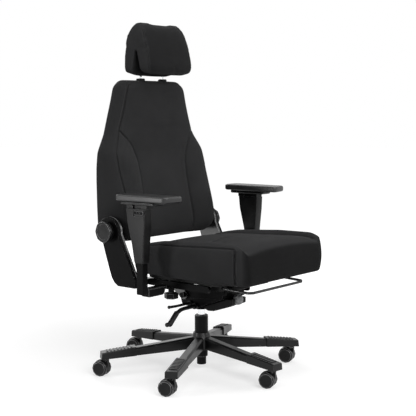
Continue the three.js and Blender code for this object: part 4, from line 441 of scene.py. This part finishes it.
def moulded(name, dark, worn, rough, specular, grain=GRAIN_SCALE, depth=GRAIN_DEPTH):
    """Moulded or coated surface: fine grain, uneven gloss and a little wear in the tone."""
    made = bpy.data.materials.new(name)
    tree = nodes_of(made)
    place = node(tree, "ShaderNodeTexCoord").outputs["Object"]
    patchy = ramp(tree, noise(tree, place, PATCH_SCALE, 4.0), *PATCH_RANGE)
    scuffs = ramp(tree, noise(tree, place, SCUFF_SCALE, 5.0), *SCUFF_RANGE)
    tone = weighed(tree, (patchy, PATCH_TONE), (scuffs, SCUFF_TONE))
    ripples = bump(tree, noise(tree, place, RIPPLE_SCALE), RIPPLE_DEPTH, RIPPLE_BUMP)
    normal = bump(tree, noise(tree, place, grain), depth, GRAIN_BUMP, ripples)
    roughness = spread(tree, patchy, *(rough + change for change in GLOSS_SPREAD))
    colour = tint(tree, tone, dark, worn)
    principled(tree, colour, roughness, normal, **{"Specular IOR Level": specular})
    return made


def polished(name, colour):
    """Chrome plate with faint drawn streaks round it."""
    made = bpy.data.materials.new(name)
    tree = nodes_of(made)
    place = node(tree, "ShaderNodeTexCoord").outputs["Object"]
    drawn = node(tree, "ShaderNodeMapping", inputs={"Vector": place, "Scale": STREAK_SCALE})
    streaks = noise(tree, drawn.outputs[0], 1.0)
    haze = ramp(tree, noise(tree, place, HAZE_SCALE), *HAZE_RANGE)
    duller = tuple(HAZE_TONE * value for value in colour)
    principled(
        tree, tint(tree, haze, colour, duller), spread(tree, streaks, *CHROME_ROUGHNESS),
        bump(tree, streaks, STREAK_DEPTH, STREAK_BUMP), Metallic=1.0,
    )
    return made


# Mesh helpers
def along(table, share, blur=ROUNDING):
    """Values at shares along a table of pairs, with its corners rounded."""
    at, value = np.array(table, float).T
    taps = np.linspace(-blur, blur, 7)
    return sum(np.interp(share + tap, at, value) for tap in taps) / len(taps)


def mix(a, b, share):
    return a + (b - a) * share


def shell(counts):
    """Closed box from -1 to 1 with a grid on each of its six sides."""
    made = bmesh.new()
    for axis in range(3):
        u, v = (axis + 1) % 3, (axis + 2) % 3
        for side in (-1, 1):
            grid = []
            for i in range(counts[u] + 1):
                row = []
                for j in range(counts[v] + 1):
                    place = [0.0, 0.0, 0.0]
                    place[axis] = side
                    place[u], place[v] = 2 * i / counts[u] - 1, 2 * j / counts[v] - 1
                    row.append(made.verts.new(place))
                grid.append(row)
            for low, high in zip(grid, grid[1:]):
                for j in range(counts[v]):
                    corners = (low[j], high[j], high[j + 1], low[j + 1])
                    made.faces.new(corners if side > 0 else corners[::-1])
    bmesh.ops.remove_doubles(made, verts=made.verts, dist=JOINED)
    return made


def points_of(mesh):
    flat = np.empty(3 * len(mesh.vertices))
    mesh.vertices.foreach_get("co", flat)
    return flat.reshape(-1, 3)


def set_points(mesh, points):
    mesh.vertices.foreach_set("co", np.ascontiguousarray(points, float).ravel())
    mesh.update()


def normals_of(mesh):
    flat = np.empty(3 * len(mesh.vertices))
    mesh.vertex_normals.foreach_get("vector", flat)
    return flat.reshape(-1, 3)


def add_mesh(name, source, material):
    mesh = bpy.data.meshes.new(name)
    source.to_mesh(mesh)
    source.free()
    mesh.shade_smooth()
    mesh.materials.append(material)
    made = bpy.data.objects.new(name, mesh)
    bpy.context.collection.objects.link(made)
    return made


def cushion(name, size, place, material):
    """Shell with a grid of about one cell, each point set from its three shares."""
    counts = [max(round(side / CELL), 4) for side in size]
    made = add_mesh(name, shell(counts), material)
    shares = points_of(made.data)
    set_points(made.data, place(*shares.T))
    return made, shares


def inflate(piece, held, cap):
    """Cloth under air pressure: held points stay, and no point moves further than cap."""
    before = points_of(piece.data)
    group = piece.vertex_groups.new(name="held")
    group.add([int(i) for i in np.flatnonzero(held)], 1.0, "REPLACE")
    cloth = piece.modifiers.new("cloth", "CLOTH")
    for key, value in CLOTH.items():
        setattr(cloth.settings, key, value)
    cloth.settings.vertex_group_mass = "held"
    cloth.settings.effector_weights.gravity = 0
    for frame_number in range(1, CLOTH_FRAMES + 1):
        bpy.context.scene.frame_set(frame_number)
    swollen = piece.evaluated_get(bpy.context.evaluated_depsgraph_get())
    move = points_of(swollen.data) - before
    piece.modifiers.remove(cloth)
    piece.vertex_groups.clear()
    bpy.context.scene.frame_set(1)
    length = np.linalg.norm(move, axis=1, keepdims=True) + 1e-9
    set_points(piece.data, before + move / length * cap * np.tanh(length / cap))


def relax(mesh, rounds):
    """Moves each point half the way to the middle of its neighbours."""
    edges = np.empty(2 * len(mesh.edges), int)
    mesh.edges.foreach_get("vertices", edges)
    first, second = edges.reshape(-1, 2).T
    points = points_of(mesh)
    count = np.bincount(edges, minlength=len(points))[:, None]
    for _ in range(rounds):
        total = np.zeros_like(points)
        np.add.at(total, first, points[second])
        np.add.at(total, second, points[first])
        points += 0.5 * (total / count - points)
    set_points(mesh, points)


def apply_modifiers(piece):
    evaluated = piece.evaluated_get(bpy.context.evaluated_depsgraph_get())
    mesh = bpy.data.meshes.new_from_object(evaluated)
    piece.modifiers.clear()
    piece.data = mesh


def subdivide(piece):
    made = piece.modifiers.new("smooth", "SUBSURF")
    made.levels = made.render_levels = 1
    apply_modifiers(piece)


def polyline(points, pitch):
    """Points at an even pitch along a line."""
    points = np.asarray(points, float)
    steps = np.linalg.norm(np.diff(points, axis=0), axis=1)
    reach = np.concatenate([[0], np.cumsum(steps)])
    at = np.linspace(0, reach[-1], max(int(reach[-1] / pitch), 2) + 1)
    return np.stack([np.interp(at, reach, points[:, k]) for k in range(3)], axis=1)


def laid_on(piece, line):
    """A line's points moved onto a piece's surface, with the normals there."""
    tree = BVHTree.FromObject(piece, bpy.context.evaluated_depsgraph_get())
    found = [tree.find_nearest(Vector(point)) for point in line]
    return np.array([hit[0] for hit in found]), np.array([hit[1] for hit in found])


def tree_of(points):
    tree = KDTree(len(points))
    for i, point in enumerate(points):
        tree.insert(point, i)
    tree.balance()
    return tree


def refine(piece, tree):
    """Splits the edges near a seam, so that its groove can be narrow."""
    made = bmesh.new()
    made.from_mesh(piece.data)
    near = {vertex for vertex in made.verts if tree.find(vertex.co)[2] < SEAM_REACH}
    edges = [edge for edge in made.edges if near.issuperset(edge.verts)]
    bmesh.ops.subdivide_edges(made, edges=edges, cuts=1, smooth=0.5, use_grid_fill=True)
    made.to_mesh(piece.data)
    made.free()
    piece.data.shade_smooth()


def sew(piece, lines, width=SEAM_WIDTH, depth=SEAM_DEPTH):
    """Draws the surface in along seam lines."""
    laid = [laid_on(piece, polyline(line, SEAM_PITCH))[0] for line in lines]
    tree = tree_of(np.concatenate(laid))
    refine(piece, tree)
    points, normals = points_of(piece.data), normals_of(piece.data)
    away = np.array([tree.find(point)[2] for point in points])
    narrow = np.exp(-((away / width) ** 2))
    wide = np.exp(-((away / (SEAM_SPREAD * width)) ** 2))
    drawn = depth * mix(wide, narrow, SEAM_NARROW_SHARE)
    set_points(piece.data, points - normals * drawn[:, None])


def stitches(name, piece, lines, material, offsets):
    """Rows of thread beside seams, each stitch a small rounded bar that lies on the cover."""
    made = bmesh.new()
    for line in lines:
        points, normals = laid_on(piece, polyline(line, STITCH_PITCH))
        ahead = np.gradient(points, axis=0)
        ahead /= np.linalg.norm(ahead, axis=1, keepdims=True) + 1e-12
        aside = np.cross(normals, ahead)
        for offset in offsets:
            row, faces = laid_on(piece, points + offset * aside)
            for place, normal, way in zip(row, faces, ahead):
                add_stitch(made, Vector(place), Vector(normal), Vector(way))
    return add_mesh(name, made, material)


def add_stitch(made, place, normal, way):
    side = normal.cross(way).normalized()
    middle, fall = STITCH_ARCH
    rings = []
    for share, size in STITCH_RINGS:
        rise = STITCH_RADIUS * (middle - fall * abs(share))
        centre = place + way * (share * STITCH_LENGTH) + normal * rise
        ring = []
        for k in range(STITCH_SIDES):
            turn = 2 * math.pi * k / STITCH_SIDES
            aside = side * math.cos(turn) + normal * math.sin(turn)
            ring.append(made.verts.new(centre + aside * STITCH_RADIUS * size))
        rings.append(ring)
    for low, high in zip(rings, rings[1:]):
        for k in range(STITCH_SIDES):
            after = (k + 1) % STITCH_SIDES
            made.faces.new((low[k], high[k], high[after], low[after]))
    made.faces.new(rings[0])
    made.faces.new(rings[-1][::-1])


# Seat cushion
def seat_seam_x(y):
    """Half distance between the bolsters' inner seams; they part towards the front corners."""
    forward = np.clip((SEAT_CROSS_Y - SEAT_CROSS_BOW - y) / SEAT_PARTING_LENGTH, 0, 1)
    return SEAT_SEAM_X + SEAT_SEAM_PARTING * forward ** 2


def seat_cross_y(x):
    return SEAT_CROSS_Y - SEAT_CROSS_BOW * (x / SEAT_SEAM_X) ** 2


def seat_top(x, y):
    """Height of the cover: dished middle, raised sides, a full thigh part and a falling nose."""
    b = (y - (SEAT_FRONT + SEAT_REAR) / 2) / ((SEAT_REAR - SEAT_FRONT) / 2)
    seam = along(SEAT_SEAM_HEIGHTS, b)
    crest = along(SEAT_CREST_HEIGHTS, b)
    inner = seat_seam_x(y)
    across = np.clip(np.abs(x) / inner, 0, 1)
    outer = np.clip((np.abs(x) - inner) / (SEAT_HALF_WIDTH - inner), 0, 1)
    thigh = np.clip((seat_cross_y(x) - y) / SEAT_THIGH_LENGTH, 0, 1)
    puff = SEAT_PUFF + (SEAT_THIGH_PUFF - SEAT_PUFF) * np.sin(thigh * math.pi / 2)
    height = seam + puff * (1 - across ** 2) + SEAT_EDGE_RISE * outer
    height += crest * np.sin(math.pi * outer ** SEAT_CREST_POWER)
    fall = np.clip((SEAT_NOSE_START - y) / (SEAT_NOSE_START - SEAT_FRONT), 0, 1)
    height -= SEAT_NOSE * (1 - np.sqrt(np.clip(1 - SEAT_NOSE_ROUND * fall ** 2, 0, 1)))
    return height - SEAT_REAR_EDGE * np.clip(b, 0, 1) ** SEAT_REAR_EDGE_POWER


def seat_plan(a, b, draw):
    """Plan position of a point from its two shares, with rounded front corners."""
    half = (SEAT_REAR - SEAT_FRONT) / 2
    p_cell, q_cell = SEAT_CORNER / SEAT_HALF_WIDTH, SEAT_CORNER / half
    p = np.clip((np.abs(a) - 1 + p_cell) / p_cell, 0, 1)
    q = np.clip((-b - 1 + q_cell) / q_cell, 0, 1)
    size = np.hypot(p, q)
    scale = np.where((p > 0) & (q > 0), np.maximum(p, q) / np.maximum(size, 1e-9), 1)
    a = np.sign(a) * (np.abs(a) - p_cell * p * (1 - scale))
    b = b + q_cell * q * (1 - scale)
    taper = mix(1, SEAT_REAR_WIDTH_SHARE, np.clip(b, 0, 1) ** 2)
    x = a * (SEAT_HALF_WIDTH * taper - draw)
    y = (SEAT_FRONT + SEAT_REAR) / 2 + b * (half - draw)
    return x, y


def seat_points(a, b, c):
    x, y = seat_plan(a, b, SEAT_DRAW * c * c)
    return np.stack([x, y, mix(SEAT_BOTTOM, seat_top(x, y), (c + 1) / 2)], axis=1)


def seat_seams():
    """Side panel seams, bolster seams and the bowed cross seam."""
    lines = []
    count = SEAT_SEAM_POINTS
    for side in (-1, 1):
        y = np.linspace(SEAT_REAR - 0.004, SEAT_FRONT + SEAT_CORNER, count)
        shares = np.linspace(1, SEAT_SIDE_SEAM_END, count)
        x, _ = seat_plan(np.full(count, side * 1.0), shares, SEAT_DRAW)
        z = seat_top(x, y) - SEAT_SIDE_SEAM_DROP
        top = np.stack([x, y, z], axis=1)
        corner = [(side * SEAT_HALF_WIDTH, SEAT_FRONT + SEAT_CORNER - 0.008, height)
                  for height in np.linspace(z[-1] - 0.012, SEAT_BOTTOM + 0.002, 16)]
        lines.append(np.concatenate([top, corner]))
        y = np.linspace(SEAT_REAR - 0.01, SEAT_FRONT + 0.035, 60)
        x = side * seat_seam_x(y)
        lines.append(np.stack([x, y, seat_top(x, y)], axis=1))
    x = np.linspace(-SEAT_SEAM_X, SEAT_SEAM_X, count)
    y = seat_cross_y(x)
    lines.append(np.stack([x, y, seat_top(x, y)], axis=1))
    return lines


def build_seat(cover, thread):
    size = (2 * SEAT_HALF_WIDTH, SEAT_REAR - SEAT_FRONT, SEAT_DEPTH)
    piece, shares = cushion("seat_cover", size, seat_points, cover)
    relax(piece.data, 2)
    points = points_of(piece.data)
    x, y = np.abs(points[:, 0]), points[:, 1]
    rim = (np.abs(shares) > 0.999).sum(axis=1) > 1
    seam = (shares[:, 2] > 0.99) & (np.abs(x - seat_seam_x(y)) < CELL / 2)
    held = (shares[:, 2] < -0.99) | rim | seam
    inflate(piece, held, SEAT_CAP)
    subdivide(piece)
    seams = seat_seams()
    sew(piece, seams, SEAT_SEAM_WIDTH, SEAT_SEAM_DEPTH)
    threads = stitches("seat_stitching", piece, seams, thread, SEAT_STITCH_OFFSETS)
    for made in (piece, threads):
        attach(made, "seat")
    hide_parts("seat_cushion")


# Back cushion
def back_points(a, b, c):
    up = (b + 1) / 2
    half = BACK_HALF_WIDTH * along(BACK_WIDTHS, up, 0.012)
    panel = along(BACK_PANELS, up, 0.04) / BACK_SEAM
    inner = np.minimum(np.abs(a), BACK_SEAM) * panel
    outer = np.maximum(np.abs(a) - BACK_SEAM, 0) / (1 - BACK_SEAM)
    across = np.sign(a) * (inner + outer * (1 - panel * BACK_SEAM))
    middle = mix(BACK_FRONT_LOW, BACK_FRONT_HIGH, along(BACK_FRONTS, up, 0.05))
    wing = BACK_WING * along(BACK_WINGS, up, 0.03)
    wing *= np.sin(outer * math.pi / 2) ** BACK_WING_POWER
    depth = BACK_REAR - middle + wing
    rounding = np.abs(across) ** BACK_SIDE_POWER + (2 * up - 1) ** BACK_END_POWER
    edge = BACK_EDGE_SHARE * depth * rounding
    front = BACK_REAR - depth + edge
    draw = BACK_DRAW * c * c
    x = across * (half - draw)
    y = mix(front, BACK_REAR, (c + 1) / 2)
    z = mix(BACK_BOTTOM, BACK_TOP, up) - np.sign(b) * draw * b * b
    return np.stack([x, y, z], axis=1)


def back_seams():
    """Curved seams round the bolsters, which end at the shoulders, and the side panels' seams."""
    lines = []
    for side in (-1, 1):
        for low, high, table in BACK_SEAM_RUNS:
            up = np.linspace(low, high, BACK_SEAM_POINTS)
            front = np.full(BACK_SEAM_POINTS, -1.0)
            lines.append(back_points(side * along(table, up), 2 * up - 1, front))
    return lines


def build_back(cover, thread):
    size = (2 * BACK_HALF_WIDTH, BACK_TOP - BACK_BOTTOM, BACK_DEPTH)
    piece, shares = cushion("back_cover", size, back_points, cover)
    face_outwards(piece)
    relax(piece.data, 2)
    rim = (np.abs(shares) > 0.999).sum(axis=1) > 1
    from_seam = np.abs(np.abs(shares[:, 0]) - BACK_SEAM)
    seam = (shares[:, 2] < -0.99) & (from_seam < CELL / 2 / BACK_HALF_WIDTH)
    held = (shares[:, 2] > 0.99) | rim | seam
    inflate(piece, held, BACK_CAP)
    subdivide(piece)
    seams = back_seams()
    sew(piece, seams)
    threads = stitches("back_stitching", piece, seams, thread, BACK_STITCH_OFFSETS)
    for made in (piece, threads):
        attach(made, "backrest")
    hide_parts("back_cushion")


def face_outwards(piece):
    """Turns the faces of a mirrored shell outwards."""
    made = bmesh.new()
    made.from_mesh(piece.data)
    bmesh.ops.recalc_face_normals(made, faces=made.faces)
    made.to_mesh(piece.data)
    made.free()


# Headrest, from its CAD form
def head_narrowing(up):
    return 1 - HEAD_NARROW_SHARE * np.clip(up - HEAD_SHOULDER_SHARE, 0, 1) ** 2


def head_seams():
    """A seam round each end, where the side panels meet the folded front panel."""
    y, z = np.array(HEAD_OUTLINE).T
    at, fine = np.arange(len(y)), np.linspace(0, len(y) - 1, HEAD_SEAM_POINTS)
    y = mix(HEAD_FRONT, HEAD_REAR, np.interp(fine, at, y))
    up = np.interp(fine, at, z)
    half = HEAD_HALF_WIDTH * HEAD_SEAM_SHARE * head_narrowing(up)
    lift = HEAD_LIFT * HEAD_SEAM_SHARE ** HEAD_LIFT_POWER * np.clip(2 * up - 1, 0, 1)
    z = mix(HEAD_BOTTOM, HEAD_TOP, up) + lift
    return [np.stack([side * half, y, z], axis=1) for side in (-1, 1)]


def build_headrest(cover, thread, source):
    made = bmesh.new()
    made.from_mesh(source.data)
    bmesh.ops.remove_doubles(made, verts=made.verts, dist=JOINED)
    bmesh.ops.dissolve_limit(
        made, angle_limit=HEAD_FLAT_ANGLE, verts=made.verts, edges=made.edges
    )
    piece = add_mesh("headrest_cover", made, cover)
    remesh = piece.modifiers.new("remesh", "REMESH")
    remesh.mode = "VOXEL"
    remesh.voxel_size = HEAD_VOXEL
    apply_modifiers(piece)
    relax(piece.data, 5)
    points = points_of(piece.data)
    up = np.clip((points[:, 2] - HEAD_BOTTOM) / (HEAD_TOP - HEAD_BOTTOM), 0, 1)
    across = np.abs(points[:, 0]) / (HEAD_HALF_WIDTH * head_narrowing(up))
    rear = np.clip((2 * points[:, 1] - HEAD_FRONT - HEAD_REAR) / (HEAD_REAR - HEAD_FRONT), 0, 1)
    upper = np.clip(2 * up - 1, 0, 1)
    lift = HEAD_LIFT * np.clip(across, 0, 1) ** HEAD_LIFT_POWER
    points[:, 2] += upper * (lift - HEAD_SLOPE * rear)
    points[:, 1] += HEAD_SWELL * rear
    set_points(piece.data, points)
    inflate(piece, np.zeros(len(piece.data.vertices), bool), HEAD_CAP)
    piece.data.shade_smooth()
    seams = head_seams()
    sew(piece, seams, depth=HEAD_SEAM_DEPTH)
    threads = stitches("headrest_stitching", piece, seams, thread, HEAD_STITCH_OFFSETS)
    for made in (piece, threads):
        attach(made, "headrest")
    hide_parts("headrest_cushion")


# Rigid parts keep their CAD solids, with rounded edges and a finish
def edge_shading():
    """Geometry nodes that keep only steep edges sharp."""
    tree = bpy.data.node_groups.new("edge_shading", "GeometryNodeTree")
    for direction in ("INPUT", "OUTPUT"):
        tree.interface.new_socket("Geometry", in_out=direction, socket_type="NodeSocketGeometry")
    source = node(tree, "NodeGroupInput")
    angle = node(tree, "GeometryNodeInputMeshEdgeAngle")
    steep = node(tree, "FunctionNodeCompare", operation="GREATER_THAN",
                 inputs={0: angle.outputs["Unsigned Angle"], 1: math.radians(SHARP_ANGLE)})
    smooth = node(tree, "GeometryNodeSetShadeSmooth", inputs={"Geometry": source.outputs[0]})
    sharp = node(tree, "GeometryNodeSetShadeSmooth", domain="EDGE", inputs={
        "Geometry": smooth.outputs[0], "Selection": steep.outputs[0], "Shade Smooth": False,
    })
    node(tree, "NodeGroupOutput", inputs={0: sharp.outputs[0]})
    return tree


def soften(part, width, shading):
    weld = part.modifiers.new("weld", "WELD")
    weld.merge_threshold = JOINED
    bevel = part.modifiers.new("bevel", "BEVEL")
    bevel.width = width
    bevel.segments = 2
    bevel.limit_method = "ANGLE"
    bevel.angle_limit = math.radians(EDGE_ANGLE)
    bevel.use_clamp_overlap = True
    # the rounded edges take the second finish, a painted highlight
    bevel.material = 1
    part.modifiers.new("shading", "NODES").node_group = shading
    weighted = part.modifiers.new("normals", "WEIGHTED_NORMAL")
    weighted.keep_sharp = True


def dress(part, materials, shading, width):
    part.data.materials.clear()
    for material in materials:
        part.data.materials.append(material)
    if "custom_normal" in part.data.attributes:
        part.data.attributes.remove(part.data.attributes["custom_normal"])
    soften(part, width, shading)


def finishes():
    return {
        "fabric_black": fabric("black_fabric", BLACK_FABRIC, LIGHT_FABRIC),
        "nylon_black": moulded("black_nylon", NYLON, NYLON_WORN, 0.42, 0.08),
        "base_nylon": moulded("base_nylon", NYLON, NYLON_WORN, 0.34, 0.24),
        "satin_nylon": moulded("satin_nylon", NYLON, SATIN_WORN, 0.34, 0.16),
        "steel_black": moulded("coated_steel", COATED, COATED_WORN, 0.38, 0.04, 700.0, 0.0002),
        "plate_steel": moulded("plate_steel", COATED_WORN, SATIN_WORN, 0.22, 0.90, 700.0, 0.0001),
        "pad_skin": moulded("pad_skin", SKIN, SKIN_WORN, 0.36, 0.42, 2200.0, 0.00008),
        "wheel_black": moulded("wheel_nylon", TREAD, TREAD_WORN, 0.36, 0.16),
        "grey_plastic": moulded("grey_plastic", GREY, GREY_WORN, 0.45, 0.5),
        "chrome": polished("chrome", CHROMED),
        # painted highlight: the finish for rounded edges is lighter, for the light the edges catch
        "edge": moulded("edge", EDGE, EDGE_HIGHLIGHT_WORN, 0.25, 0.5),
        # painted highlight along the carrier plates' edges, partly bare steel
        "bare_edge_and_glint": moulded("bare_edge_and_glint", BARE_EDGE_AND_GLINT, BARE_EDGE_AND_GLINT, 0.25, 0.6),
    }


def main():
    add_camera()
    add_world()
    add_floor()
    for softbox in SOFTBOXES:
        add_softbox(*softbox)
    bpy.context.scene.view_settings.view_transform = "Standard"
    looks = finishes()
    thread = moulded("thread", THREAD, THREAD, 0.6, 0.3, 3000.0)
    shading = edge_shading()
    for part in frame["record"]["subparts"]:
        name = part["node"]
        # parts not listed also get the painted edge highlight
        usual = (name, part["material_slot"], "edge", EDGE_WIDTH)
        _, look, edge, width = next((row for row in NODE_LOOKS if name.startswith(row[0])), usual)
        dress(frame["nodes"][name], (looks[look], looks[edge]), shading, width)
    # the seat's cover has painted shade on its front panel
    build_seat(fabric("seat_fabric_painted_shade", BLACK_FABRIC, LIGHT_FABRIC, SEAT_FRONT_SHADE), thread)
    build_back(looks["fabric_black"], thread)
    # the headrest's cover has painted shade on its front
    head_cover = fabric("head_fabric_painted_shade", BLACK_FABRIC, LIGHT_FABRIC, HEAD_FRONT_SHADE)
    build_headrest(head_cover, thread, frame["nodes"]["headrest_cushion"])


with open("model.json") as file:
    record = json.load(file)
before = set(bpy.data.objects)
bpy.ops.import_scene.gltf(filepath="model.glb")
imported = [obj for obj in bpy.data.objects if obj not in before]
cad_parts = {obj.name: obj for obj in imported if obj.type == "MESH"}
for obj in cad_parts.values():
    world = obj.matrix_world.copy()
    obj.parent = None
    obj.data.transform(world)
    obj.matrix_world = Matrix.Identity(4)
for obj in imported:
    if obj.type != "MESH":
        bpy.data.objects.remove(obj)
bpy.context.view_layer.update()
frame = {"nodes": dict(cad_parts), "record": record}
main()
